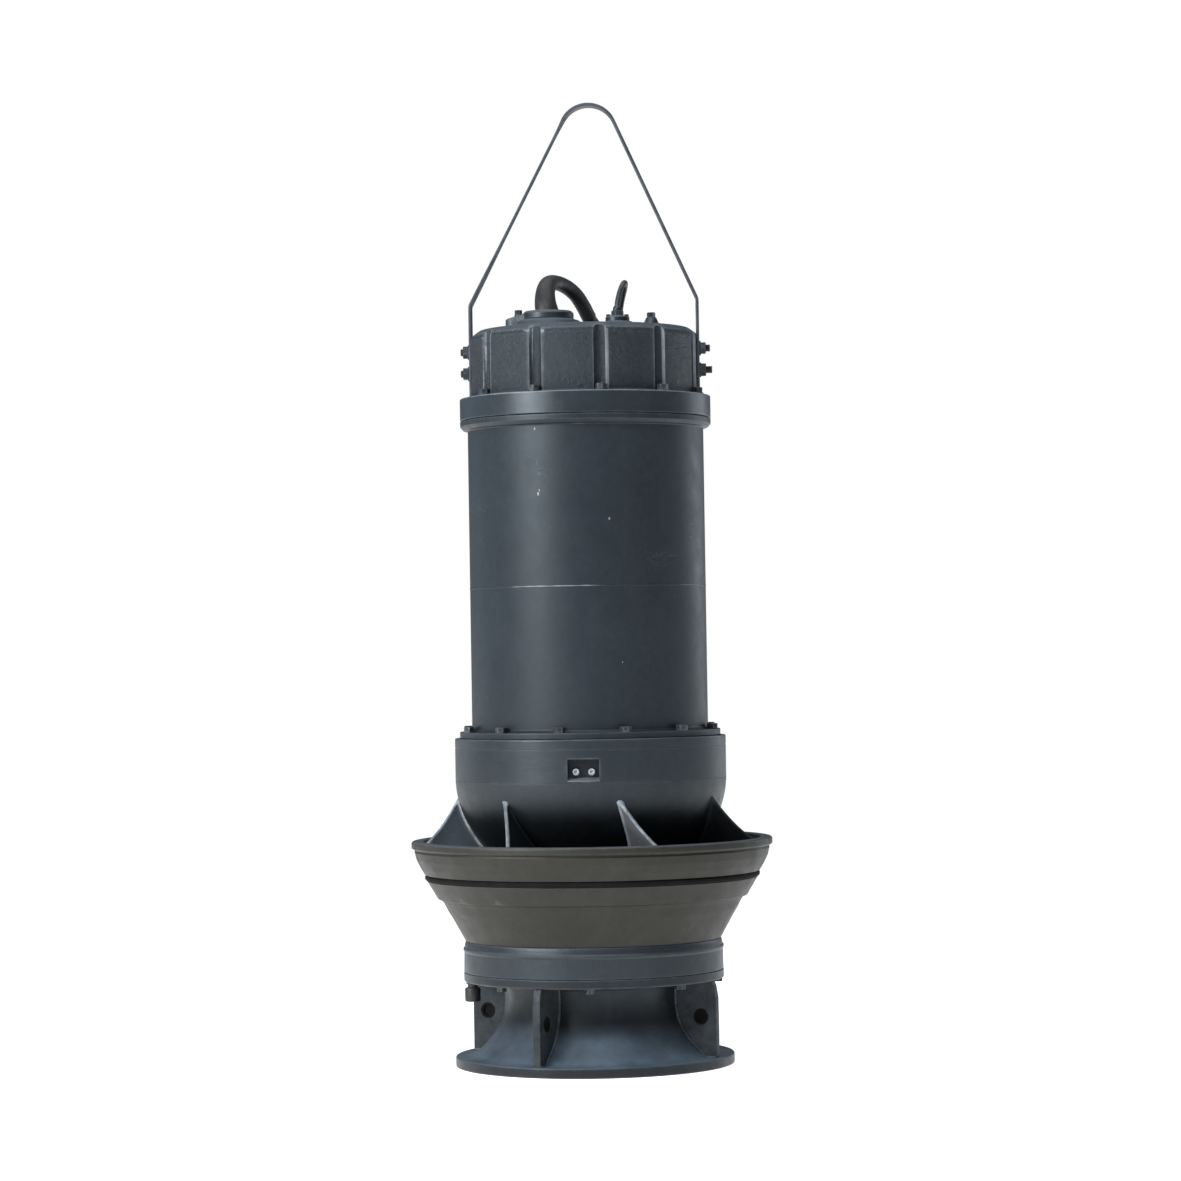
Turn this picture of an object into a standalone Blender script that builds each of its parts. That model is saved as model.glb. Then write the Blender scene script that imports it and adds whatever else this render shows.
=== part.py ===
"""Submersible mixed-flow column pump, standing on its suction bell.

Metres, +Z up, origin at the centre of the base flange's underside.
-Y is the front, +X the right. The shaft turns about the Z axis.
"""

import math

import bmesh
import bpy
from mathutils import Matrix, Vector

MM = 0.001
GAP = 0.3  # clearance between touching pieces, mm
STEPS = 32  # facets round the large turned pieces

# Heights, mm
BASE_H = 16.0
BELL_TOP = 150.0
RING_TOP = 200.0
RIM_TOP = 359.0
VANE_TOP = 428.0
BOWL_TOP = 455.0
CHAMBER_TOP = 522.0
LOWER_FLANGE_TOP = 532.0
TUBE_TOP = 1027.7
COVER_FLANGE_TOP = 1063.0
COVER_TOP = 1171.0

# Radii, mm
BASE_R = 222.4
RING_R = 207.5
RIM_R = 288.5
HUB_R = 216.3
TUBE_R = 188.5
TUBE_IN_R = 178.3
TOP_FLANGE_R = 200.5
COVER_R = 182.0
SHAFT_R = 27.5

# Counts
VANES = 7
RIBS = 4
BLADES = 4
# Azimuths of the bolt grooves on each half of the motor cover.
GROOVES = (-57.6, -24.9, 7.8, 40.5, 72.0)

# Lifting bail, mm and degrees
BAIL_T = 5.0
BAIL_W = 29.0
BAIL_FACE = 184.4
BAIL_TURN = -2.5
APEX_X, APEX_Z, APEX_R = 11.5, 1488.0, 45.2
BAIL_BOLT_Z = (1139.5, 1105.0)

# Cables, mm
POWER_D = 21.0
CONTROL_D = 9.0

for obj in list(bpy.data.objects):
    bpy.data.objects.remove(obj, do_unlink=True)

MATERIALS = {
    "paint": ((0.045, 0.058, 0.072), 0.42, 0.3),
    "paint_rough": ((0.05, 0.062, 0.075), 0.6, 0.2),
    "bare_steel": ((0.55, 0.55, 0.54), 0.35, 1.0),
    "dark_bolt": ((0.06, 0.065, 0.07), 0.45, 0.8),
    "black_rubber": ((0.012, 0.012, 0.012), 0.6, 0.0),
    "bronze": ((0.42, 0.28, 0.12), 0.4, 1.0),
    "core_steel": ((0.3, 0.3, 0.31), 0.5, 1.0),
    "copper": ((0.55, 0.24, 0.1), 0.4, 1.0),
    "carbide": ((0.09, 0.09, 0.1), 0.3, 0.2),
}


def material(kind, name):
    colour, rough, metal = MATERIALS[kind]
    made = bpy.data.materials.new(name + "_finish")
    made.use_nodes = True
    shader = made.node_tree.nodes["Principled BSDF"]
    shader.inputs["Base Color"].default_value = (*colour, 1.0)
    shader.inputs["Roughness"].default_value = rough
    shader.inputs["Metallic"].default_value = metal
    return made


def empty(name, place=(0, 0, 0)):
    made = bpy.data.objects.new(name, None)
    made.location = [c * MM for c in place]
    bpy.context.scene.collection.objects.link(made)
    return made


assembly = empty("pump_frame")
rotor_axis = empty("rotor_axis")


def finish_mesh(name, bm, kind, parent=None, helper=False):
    """Turns a bmesh in millimetres into an object in metres."""
    bmesh.ops.remove_doubles(bm, verts=bm.verts, dist=1e-4)
    bmesh.ops.dissolve_degenerate(bm, edges=bm.edges, dist=1e-4)
    bmesh.ops.recalc_face_normals(bm, faces=bm.faces)
    if bm.calc_volume(signed=True) < 0:
        bmesh.ops.reverse_faces(bm, faces=bm.faces)
    bmesh.ops.scale(bm, vec=(MM, MM, MM), verts=bm.verts)
    mesh = bpy.data.meshes.new(name)
    bm.to_mesh(mesh)
    bm.free()
    obj = bpy.data.objects.new(name, mesh)
    bpy.context.scene.collection.objects.link(obj)
    if helper:
        obj.hide_render = True
        obj.display_type = "WIRE"
    else:
        mesh.materials.append(material(kind, name))
        mesh.shade_smooth()
        mesh.set_sharp_from_angle(angle=math.radians(32))
        obj.parent = parent or assembly
    return obj


def turned_mesh(profile, steps=STEPS, turn=0.0, about=(0, 0)):
    """A turned body: the profile's (r, z) points spun about the Z axis. A profile that starts and ends on the axis closes there."""
    bm = bmesh.new()
    verts = [bm.verts.new((r, 0, z)) for r, z in profile]
    edges = [bm.edges.new(pair) for pair in zip(verts, verts[1:])]
    if profile[0][0] > 1e-6 or profile[-1][0] > 1e-6:
        edges.append(bm.edges.new((verts[-1], verts[0])))
    bmesh.ops.spin(
        bm,
        geom=verts + edges,
        cent=(0, 0, 0),
        axis=(0, 0, 1),
        angle=2 * math.pi,
        steps=steps,
        use_merge=True,
    )
    if turn:
        bmesh.ops.rotate(
            bm, verts=bm.verts, cent=(0, 0, 0), matrix=Matrix.Rotation(turn, 3, "Z")
        )
    bmesh.ops.translate(bm, vec=(about[0], about[1], 0), verts=bm.verts)
    return bm


def turned(name, profile, kind, steps=STEPS, parent=None, helper=False, about=(0, 0)):
    return finish_mesh(
        name, turned_mesh(profile, steps, about=about), kind, parent, helper
    )


def lofted_mesh(rings):
    """A closed body through rings of equally many points, with flat ends."""
    bm = bmesh.new()
    rows = [[bm.verts.new(p) for p in ring] for ring in rings]
    n = len(rows[0])
    for low, high in zip(rows, rows[1:]):
        for i in range(n):
            j = (i + 1) % n
            bm.faces.new((low[i], low[j], high[j], high[i]))
    bm.faces.new(rows[0])
    bm.faces.new(list(reversed(rows[-1])))
    return bm


def round_ring(r, z, n=12, turn=0.0):
    return [
        (
            r * math.cos(turn + 2 * math.pi * i / n),
            r * math.sin(turn + 2 * math.pi * i / n),
            z,
        )
        for i in range(n)
    ]


def hex_ring(across, z, n=12):
    """A hexagon given by its distance across flats, as n points."""
    points = []
    for i in range(n):
        a = 2 * math.pi * i / n
        off = (a + math.pi / 6) % (math.pi / 3) - math.pi / 6
        r = across / 2 / math.cos(math.pi / 6 - abs(off))
        points.append((r * math.cos(a), r * math.sin(a), z))
    return points


def bolt_mesh(shank_r, shank_l, across, head_h):
    """A hexagon-head bolt along +Z: the head's underside at z = 0."""
    return lofted_mesh(
        [
            round_ring(shank_r * 0.85, -shank_l),
            round_ring(shank_r, -shank_l + shank_r * 0.3),
            round_ring(shank_r, 0),
            hex_ring(across, 0),
            hex_ring(across, head_h - 0.12 * across * 0.5),
            round_ring(across * 0.46, head_h, 12),
        ]
    )


def box_mesh(low, high):
    bm = bmesh.new()
    size = [h - l for l, h in zip(low, high)]
    mid = [(h + l) / 2 for l, h in zip(low, high)]
    bmesh.ops.create_cube(
        bm,
        size=1.0,
        matrix=Matrix.Translation(mid)
        @ Matrix.Diagonal((size[0], size[1], size[2], 1.0)),
    )
    return bm


def transform(bm, matrix):
    bmesh.ops.transform(bm, matrix=matrix, verts=bm.verts)
    return bm


def about_z(degrees):
    return Matrix.Rotation(math.radians(degrees), 4, "Z")


def azimuth(az, r=1.0, z=0.0):
    """A place by its azimuth from the front (-Y), positive towards +X."""
    a = math.radians(az)
    return Vector((r * math.sin(a), -r * math.cos(a), z))


def cut(obj, cutter, operation="DIFFERENCE"):
    mod = obj.modifiers.new("cut_" + cutter.name, "BOOLEAN")
    mod.operation = operation
    mod.object = cutter
    mod.solver = "EXACT"


def along(table, z):
    """Linear reading of a table of (z, value), in order of z."""
    if z <= table[0][0]:
        return table[0][1]
    for (z0, a), (z1, b) in zip(table, table[1:]):
        if z <= z1:
            return a + (b - a) * (z - z0) / (z1 - z0)
    return table[-1][1]


# ---------------------------------------------------------------- wet end

# Suction bell: base flange, flared mouth, throat and upper flange in one casting.
bell_outer = [
    (RING_R, BELL_TOP - GAP),
    (RING_R, 136.0),
    (150.0, 135.0),
    (144.0, 129.0),
    (143.0, 112.0),
    (144.0, 96.0),
    (147.0, 78.0),
    (156.0, 58.0),
    (172.0, 38.0),
    (190.0, 22.0),
    (194.0, BASE_H),
    (BASE_R, BASE_H),
    (BASE_R, 1.5),
    (BASE_R - 1.5, 0.0),
]
bell_inner = [
    (189.0, 0.0),
    (184.0, 8.0),
    (176.0, 18.0),
    (160.0, 33.0),
    (145.0, 53.0),
    (136.5, 76.0),
    (133.5, 98.0),
    (133.0, 112.0),
    (136.0, BELL_TOP - GAP),
]
suction_bell = turned("suction_bell", bell_outer + bell_inner, "paint")


def bell_outer_r(z):
    return along(sorted((z_, r) for r, z_ in bell_outer[2:11]), z)


# Four stiffening ribs between the two flanges of the bell, each with a hole.
rib_hole = []
for k in range(RIBS):
    az = -25.0 + 90.0 * k
    heights = [16.3, 22, 30, 38, 48, 58, 68, 78, 96, 112, 128, 134.7]
    inner = [(bell_outer_r(z) + 0.6, z) for z in heights]
    outer = [(207.0, 134.7), (210.5, 128.0), (213.5, 40.0), (213.5, 16.3)]
    outline = inner + outer
    bm = bmesh.new()
    face = bm.faces.new([bm.verts.new((r, -6.25, z)) for r, z in outline])
    pushed = bmesh.ops.extrude_face_region(bm, geom=[face])
    bmesh.ops.translate(
        bm,
        vec=(0, 12.5, 0),
        verts=[v for v in pushed["geom"] if isinstance(v, bmesh.types.BMVert)],
    )
    transform(bm, about_z(az - 90.0))
    rib = finish_mesh(f"bell_rib_{k + 1}", bm, "paint")
    drill = lofted_mesh([round_ring(12.5, -20, 16), round_ring(12.5, 20, 16)])
    transform(
        drill,
        about_z(az - 90.0)
        @ Matrix.Translation((187.0, 0, 80.0))
        @ Matrix.Rotation(math.pi / 2, 4, "X"),
    )
    cut(rib, finish_mesh(f"rib_drill_{k + 1}", drill, "", helper=True))

# Lower casing ring, which carries the replaceable wear ring round the impeller.
impeller_casing = turned(
    "impeller_casing",
    [
        (RING_R - 3.5, RING_TOP - GAP),
        (205.2, 196.0),
        (206.3, 190.0),
        (206.5, 186.0),
        (RING_R, BELL_TOP),
        (146.5, BELL_TOP),
        (146.5, 166.0),
        (160.0, 174.0),
        (176.0, RING_TOP - GAP),
    ],
    "paint",
)
wear_ring = turned(
    "wear_ring",
    [
        (146.0, 165.2),
        (146.0, 150.2),
        (137.0, 150.2),
        (138.0, 160.0),
        (143.0, 165.2),
    ],
    "bronze",
)

# Diffuser casing: the outer cone, with the seat ring's groove below its rim.
casing_outer = [
    (270.0, RIM_TOP),
    (286.5, RIM_TOP),
    (RIM_R, RIM_TOP - 2.0),
    (RIM_R, RIM_TOP - 11.0),
    (286.0, RIM_TOP - 14.0),
    (280.6, 330.0),
    (274.4, 317.0),
    (267.8, 305.6),
    (262.2, 305.6),
    (262.2, 296.2),
    (262.5, 295.0),
    (261.0, 292.0),
    (253.6, 279.0),
    (247.0, 267.0),
    (241.0, 265.5),
    (237.4, 260.0),
    (231.0, 247.0),
    (223.0, 234.0),
    (216.0, 221.0),
    (209.0, 208.5),
    (204.5, RING_TOP),
]
casing_inner = [
    (176.4, RING_TOP),
    (190.0, 216.0),
    (212.0, 242.0),
    (226.0, 262.0),
    (240.0, 288.0),
    (252.0, 315.0),
    (262.0, 340.0),
    (266.5, 350.0),
]
diffuser_casing = turned("diffuser_casing", casing_outer + casing_inner, "paint")
seat_o_ring = turned(
    "seat_o_ring",
    [
        (262.5, 296.5),
        (265.0, 296.5),
        (266.6, 298.4),
        (267.3, 301.0),
        (266.6, 303.6),
        (265.0, 305.3),
        (262.5, 305.3),
    ],
    "black_rubber",
)


def casing_in(z):
    return along(
        [(z_, r) for r, z_ in casing_inner] + [(RIM_TOP, 269.5)], z
    )


# Diffuser hub: the bowl inside the vanes, which holds the lower seal plate.
def hub_out(z):
    if z >= 360.0:
        return HUB_R - 0.0035 * (458.0 - z) ** 2 if z < 458.0 else HUB_R
    return 120.0 + (HUB_R - 0.0035 * 98.0**2 - 120.0) * (z - 264.0) / 96.0


hub_outer = [(hub_out(z), z) for z in (453.5, 440, 425, 410, 395, 378, 360, 330, 300, 264.0)]
diffuser_hub = turned(
    "diffuser_hub",
    [(209.0, BOWL_TOP - GAP), (HUB_R - 1.0, BOWL_TOP - GAP)]
    + hub_outer
    + [
        (96.0, 264.0),
        (96.0, 272.0),
        (126.0, 290.0),
        (164.0, 345.0),
        (186.0, 372.0),
        (200.0, 405.0),
        (205.0, 430.0),
        (205.0, 442.0),
        (209.0, 444.0),
    ],
    "paint",
)

# Guide vanes: curved blades from the hub to the casing.
VANE_LOW = 272.0


def vane_place(u, v):
    """A point of a vane's middle surface: u runs from hub to casing, v from the top down. The hub line starts at VANE_TOP, the casing line at the rim."""
    top = VANE_TOP - (VANE_TOP - RIM_TOP + 2.5) * u
    z = top + (VANE_LOW - top) * v
    d = top - z
    az = 11.8 + 10.5 * u + 0.085 * d + 0.0004 * d * d
    facet = math.cos(math.pi / STEPS)
    low = hub_out(z) + 0.6
    high = casing_in(z) * facet - 0.6
    if z > RIM_TOP - 9.0:
        high = min(high, 266.5 * facet - 0.6)
    return low + (high - low) * u, az, z


for k in range(VANES):
    rows, across = 16, 2
    grid = []
    for i in range(rows + 1):
        v = i / rows
        line = []
        for j in range(across + 1):
            u = j / across
            r, az, z = vane_place(u, v)
            _, az2, z2 = vane_place(u, min(1.0, v + 0.02) if v < 1 else v - 0.02)
            lean = math.atan2(
                abs(math.radians(az2 - az)) * r, max(abs(z2 - z), 1e-6)
            )
            half = 3.0 / math.cos(lean)
            if i == 0:
                half *= 0.6
            line.append((r, az + k * 360.0 / VANES, z, math.degrees(half / r)))
        grid.append(line)
    bm = bmesh.new()
    sides = [
        [
            [bm.verts.new(azimuth(az + s * half, r, z)) for r, az, z, half in line]
            for line in grid
        ]
        for s in (-1, 1)
    ]
    a, b = sides
    for i in range(rows):
        for j in range(across):
            bm.faces.new((a[i][j], a[i][j + 1], a[i + 1][j + 1], a[i + 1][j]))
            bm.faces.new((b[i][j], b[i + 1][j], b[i + 1][j + 1], b[i][j + 1]))
        for j in (0, across):
            bm.faces.new((a[i][j], a[i + 1][j], b[i + 1][j], b[i][j]))
    for j in range(across):
        for i in (0, rows):
            bm.faces.new((a[i][j], b[i][j], b[i][j + 1], a[i][j + 1]))
    finish_mesh(f"guide_vane_{k + 1}", bm, "paint")

# ------------------------------------------------------------ motor housing

# Oil chamber: the machined cylinder between bowl and motor, with a plug pocket.
oil_chamber = turned(
    "oil_chamber",
    [
        (188.0, CHAMBER_TOP - GAP),
        (HUB_R - 1.0, CHAMBER_TOP - GAP),
        (HUB_R, CHAMBER_TOP - 1.3),
        (HUB_R, BOWL_TOP + 1.0),
        (HUB_R - 1.0, BOWL_TOP),
        (182.0, BOWL_TOP),
        (182.0, 500.0),
        (188.0, 502.0),
    ],
    "paint",
)
pocket = transform(
    box_mesh((-24.5, -230.0, 454.0), (24.5, -197.0, 491.0)), about_z(-3.0)
)
cut(oil_chamber, finish_mesh("pocket_cutter", pocket, "", helper=True))
for k, side in enumerate((-12.2, 12.2)):
    drill = transform(
        lofted_mesh([round_ring(5.4, 189.5, 12), round_ring(5.4, 200.0, 12)]),
        about_z(-3.0)
        @ Matrix.Translation((side, 0, 463.0))
        @ Matrix.Rotation(math.pi / 2, 4, "X"),
    )
    cut(oil_chamber, finish_mesh(f"oil_plug_drill_{k + 1}", drill, "", helper=True))
    plug = transform(
        lofted_mesh(
            [
                round_ring(4.9, 190.3, 12),
                round_ring(4.9, 197.3, 12),
                round_ring(8.0, 197.3, 12),
                round_ring(8.0, 200.5, 12),
                round_ring(5.0, 202.0, 12),
            ]
        ),
        about_z(-3.0)
        @ Matrix.Translation((side, 0, 463.0))
        @ Matrix.Rotation(math.pi / 2, 4, "X"),
    )
    finish_mesh(f"oil_plug_{k + 1}", plug, "bare_steel")

# Motor shell: the tube with its lower and upper flanges.
motor_shell = turned(
    "motor_shell",
    [
        (TUBE_IN_R, TUBE_TOP - GAP),
        (TOP_FLANGE_R - 0.5, TUBE_TOP - GAP),
        (TOP_FLANGE_R, TUBE_TOP - 1.0),
        (TOP_FLANGE_R, 1018.0),
        (TOP_FLANGE_R - 5.0, 1013.0),
        (TUBE_R, 1011.0),
        (TUBE_R, LOWER_FLANGE_TOP + 1.5),
        (TUBE_R + 1.5, LOWER_FLANGE_TOP),
        (207.0, LOWER_FLANGE_TOP),
        (208.0, LOWER_FLANGE_TOP - 1.0),
        (208.0, CHAMBER_TOP),
        (TUBE_IN_R, CHAMBER_TOP),
    ],
    "paint",
)

# Motor cover: flange, drum with bolt scallops, two flat pads for the bail.
cover_profile = [
    (0.0, COVER_TOP),
    (172.0, COVER_TOP),
    (180.0, COVER_TOP - 7.0),
    (COVER_R, COVER_TOP - 12.0),
    (COVER_R, COVER_FLANGE_TOP + 1.0),
    (COVER_R + 1.0, COVER_FLANGE_TOP),
    (TOP_FLANGE_R - 1.0, COVER_FLANGE_TOP),
    (TOP_FLANGE_R, COVER_FLANGE_TOP - 1.0),
    (TOP_FLANGE_R, TUBE_TOP + 0.5),
    (TOP_FLANGE_R - 0.5, TUBE_TOP),
    (TUBE_IN_R - 0.4, TUBE_TOP),
    (TUBE_IN_R - 0.4, TUBE_TOP - 8.0),
    (168.0, TUBE_TOP - 8.0),
    (168.0, COVER_TOP - 30.0),
    (150.0, COVER_TOP - 14.0),
    (0.0, COVER_TOP - 14.0),
]
motor_cover = turned("motor_cover", cover_profile, "paint_rough")
for side in (0, 180):
    pad = transform(
        box_mesh((179.1, -45.0, COVER_FLANGE_TOP + 1.5), (200.0, 45.0, 1180.0)),
        about_z(BAIL_TURN + side),
    )
    cut(motor_cover, finish_mesh(f"pad_cutter_{side}", pad, "", helper=True))
for side in (0, 180):
    for number, az in enumerate(GROOVES):
        groove = transform(
            lofted_mesh(
                [
                    round_ring(12.0, 0, 12),
                    round_ring(12.0, 120.0, 12),
                ]
            ),
            Matrix.Translation(azimuth(az + side, 187.0, COVER_FLANGE_TOP + 1.5)),
        )
        cut(
            motor_cover,
            finish_mesh(f"scallop_{side}_{number}", groove, "", helper=True),
        )

# ---------------------------------------------------------------- lifting bail


def bail_path():
    """The bar's centreline (x, z) in the bail's own plane, foot to foot, with each point's unit normal (outwards)."""
    mid = BAIL_FACE - BAIL_T / 2
    points = [(-mid, 1068.0), (-mid, 1120.0), (-mid, 1170.0)]

    def bend(cx, cz, r, a0, a1, n):
        for i in range(n + 1):
            a = math.radians(a0 + (a1 - a0) * i / n)
            points.append((cx + r * math.cos(a), cz + r * math.sin(a)))

    bend(-mid + 14.0, 1209.6, 14.0, 180.0, 152.5, 3)
    a = math.radians(152.5)
    x1, z1 = APEX_X + APEX_R * math.cos(a), APEX_Z + APEX_R * math.sin(a)
    x0, z0 = points[-1]
    for t in (0.25, 0.5, 0.75, 0.92):
        points.append((x0 + (x1 - x0) * t, z0 + (z1 - z0) * t))
    # A short flat at the very top is where the hook pulls.
    bend(APEX_X, APEX_Z, APEX_R, 152.5, 97.0, 4)
    bend(APEX_X, APEX_Z, APEX_R, 83.0, 24.2, 4)
    x0, z0 = points[-1]
    x1, z1 = (
        mid - 14.0 + 14.0 * math.cos(math.radians(24.2)),
        1216.0 + 14.0 * math.sin(math.radians(24.2)),
    )
    for t in (0.25, 0.5, 0.75):
        points.append((x0 + (x1 - x0) * t, z0 + (z1 - z0) * t))
    bend(mid - 14.0, 1216.0, 14.0, 24.2, 0.0, 3)
    points += [(mid, 1170.0), (mid, 1120.0), (mid, 1068.0)]
    return points


def bail_rings():
    path = bail_path()
    rings = []
    for i, (x, z) in enumerate(path):
        ax, az_ = path[max(i - 1, 0)]
        bx, bz = path[min(i + 1, len(path) - 1)]
        t = Vector((bx - ax, 0, bz - az_)).normalized()
        n = Vector((-t.z, 0, t.x))
        w = Vector((0, 1, 0))
        if 1225.0 < z < 1512.0 and x < -10.0:
            # The left leg is twisted a little, most just under the arc.
            twist = math.radians(5.5 * min(1.0, (z - 1225.0) / 120.0))
            turn = Matrix.Rotation(twist, 3, t)
            n, w = turn @ n, turn @ w
        c = Vector((x, 0, z))
        rings.append(
            [
                c + n * (sn * BAIL_T / 2) + w * (sw * BAIL_W / 2)
                for sn, sw in ((1, -1), (1, 1), (-1, 1), (-1, -1))
            ]
        )
    return rings


bm = transform(lofted_mesh(bail_rings()), about_z(BAIL_TURN))
lifting_bail = finish_mesh("lifting_bail", bm, "paint")
number = 0
for side in (0, 180):
    for z in BAIL_BOLT_Z:
        number += 1
        proud = 14.0 if side == 180 else (17.0 if z > 1120 else 20.0)
        place = (
            about_z(BAIL_TURN + side)
            @ Matrix.Translation((0, 0, z))
            @ Matrix.Rotation(math.pi / 2, 4, "Y")
        )
        through = transform(
            lofted_mesh([round_ring(6.5, 170.2, 16), round_ring(6.5, 200, 16)]),
            place,
        )
        drill = finish_mesh(f"bail_drill_{number}", through, "", helper=True)
        cut(lifting_bail, drill)
        cut(motor_cover, drill)
        # A hexagon bolt with its washer face, the stud end standing proud of it.
        face = BAIL_FACE + GAP
        rings = [
            round_ring(6.0, 170.8),
            round_ring(6.0, face),
            round_ring(12.0, face),
            round_ring(12.0, face + 2.5),
            hex_ring(18.0, face + 2.5),
            hex_ring(18.0, face + 9.5),
            round_ring(8.3, face + 10.5),
            round_ring(6.0, face + 10.5),
            round_ring(6.0, face + proud - 1.0),
            round_ring(5.0, face + proud),
        ]
        finish_mesh(
            f"bail_bolt_{number}", transform(lofted_mesh(rings), place), "dark_bolt"
        )

# ---------------------------------------------------------------- top fittings

POWER_X, POWER_Y = -57.0, 0.0
CONTROL_X, CONTROL_Y = 54.0, -6.0
LEAN = 22.0  # the power cable leans back and to the left as it leaves

power_gland_body = turned(
    "power_gland_body",
    [
        (46.0, COVER_TOP + GAP),
        (54.0, COVER_TOP + GAP),
        (55.0, COVER_TOP + 2.0),
        (55.0, 1184.0),
        (52.0, 1188.0),
        (40.0, 1190.0),
        (30.0, 1190.0),
        (15.2, 1190.0),
        (15.2, COVER_TOP + GAP),
    ],
    "paint",
    steps=20,
    about=(POWER_X, POWER_Y),
)
power_gland_clamp = turned(
    "power_gland_clamp",
    [
        (15.2, 1190.3),
        (41.0, 1190.3),
        (41.0, 1200.0),
        (38.0, 1203.0),
        (24.0, 1203.0),
        (15.2, 1203.0),
    ],
    "paint",
    steps=20,
    about=(POWER_X, POWER_Y),
)
control_gland_body = turned(
    "control_gland_body",
    [
        (5.6, COVER_TOP + GAP),
        (26.0, COVER_TOP + GAP),
        (27.0, COVER_TOP + 2.0),
        (27.0, 1181.0),
        (24.0, 1184.0),
        (19.0, 1184.0),
        (19.0, 1191.0),
        (17.0, 1193.2),
        (5.6, 1193.2),
    ],
    "paint",
    steps=16,
    about=(CONTROL_X, CONTROL_Y),
)
nut = [
    hex_ring(18.0, 1193.5),
    hex_ring(18.0, 1200.5),
    round_ring(8.4, 1201.8),
    round_ring(7.2, 1204.0),
]
control_gland_nut = finish_mesh(
    "control_gland_nut",
    transform(lofted_mesh(nut), Matrix.Translation((CONTROL_X, CONTROL_Y, 0))),
    "paint",
)
bore = transform(
    lofted_mesh([round_ring(5.2, 1180.0), round_ring(5.2, 1210.0)]),
    Matrix.Translation((CONTROL_X, CONTROL_Y, 0)),
)
cut(control_gland_nut, finish_mesh("control_bore", bore, "", helper=True))
vent = [
    round_ring(14.0, COVER_TOP + GAP),
    round_ring(14.0, 1177.0),
    round_ring(7.5, 1190.3),
    hex_ring(11.8, 1190.6),
    hex_ring(11.8, 1197.4),
    round_ring(4.8, 1198.6),
]
vent_plug = finish_mesh(
    "vent_plug",
    transform(lofted_mesh(vent), Matrix.Translation((108.0, -4.0, 0))),
    "dark_bolt",
)
# Drain plug: a round black boss on the left of the casing ring's underside.
drain = [
    round_ring(12.0, 104.5),
    round_ring(12.5, 107.0),
    round_ring(12.5, 127.0),
    round_ring(8.0, 129.0),
    round_ring(8.0, 135.1),
]
drain_plug = finish_mesh(
    "drain_plug",
    transform(lofted_mesh(drain), Matrix.Translation((-193.0, -34.0, 0))),
    "dark_bolt",
)

# ---------------------------------------------------------------- free cables
# Each cable leaves its gland, arches back over the cover, hangs down behind the
# pump and is wound into a neat coil on the floor close behind it.

COIL_C = (0.0, 490.0)
COIL_OUT, COIL_IN, COIL_H = 176.5, 83.5, 64.5
SMALL_OUT, SMALL_IN, SMALL_H = 79.7, 30.3, 64.8

POWER_ROUTE = [
    (-57.0, 0.0, 1191.0),
    (-57.3, 0.5, 1198.0),
    (-58.4, 2.0, 1204.0),
    (-60.6, 6.5, 1212.0),
    (-61.5, 17.0, 1222.0),
    (-60.5, 32.0, 1233.0),
    (-56.0, 52.0, 1243.5),
    (-44.0, 77.0, 1248.5),
    (-27.0, 100.0, 1243.4),
    (-13.0, 114.0, 1233.0),
    (-0.5, 127.0, 1216.5),
    (9.0, 138.0, 1201.0),
    (22.0, 155.0, 1187.6),
    (34.0, 179.0, 1182.5),
    (42.0, 205.0, 1179.0),
    (48.0, 227.0, 1169.0),
    (52.5, 247.0, 1151.0),
    (55.5, 261.0, 1127.0),
    (57.0, 268.0, 1095.0),
    (57.5, 271.0, 1050.0),
    (58.0, 276.0, 900.0),
    (60.0, 283.0, 700.0),
    (66.0, 289.0, 520.0),
    (73.0, 292.5, 400.0),
    (80.0, 297.0, 280.0),
    (86.5, 301.0, 170.0),
    (87.5, 302.8, 100.0),
    (82.0, 303.0, 63.0),
    (63.4, 303.0, 35.4),
    (34.0, 303.0, 16.5),
    (0.0, 303.0, 10.8),
]
CONTROL_ROUTE = [
    (54.0, -6.0, 1204.3),
    (54.2, -4.5, 1213.0),
    (55.2, 1.0, 1226.0),
    (58.0, 15.0, 1241.0),
    (62.0, 36.0, 1247.0),
    (66.0, 57.0, 1241.0),
    (69.0, 72.0, 1225.0),
    (70.8, 79.0, 1211.0),
    (72.5, 86.0, 1197.0),
    (76.0, 101.0, 1182.0),
    (80.0, 123.0, 1176.2),
    (83.5, 145.0, 1176.0),
    (86.0, 163.0, 1173.5),
    (88.0, 178.0, 1165.0),
    (89.5, 190.0, 1150.0),
    (90.5, 196.5, 1128.0),
    (91.5, 201.0, 1090.0),
    (93.0, 209.0, 1000.0),
    (97.0, 227.0, 800.0),
    (102.0, 248.0, 600.0),
    (108.0, 270.0, 430.0),
    (113.0, 277.0, 330.0),
    (121.0, 283.0, 230.0),
    (129.0, 291.0, 150.0),
    (134.0, 304.0, 106.0),
    (134.0, 327.0, 80.0),
    (128.0, 357.0, 70.8),
    (117.0, 388.0, 69.6),
    (104.0, 422.0, 69.6),
    (90.0, 460.0, 69.6),
    (77.0, 497.0, 69.6),
]


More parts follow.
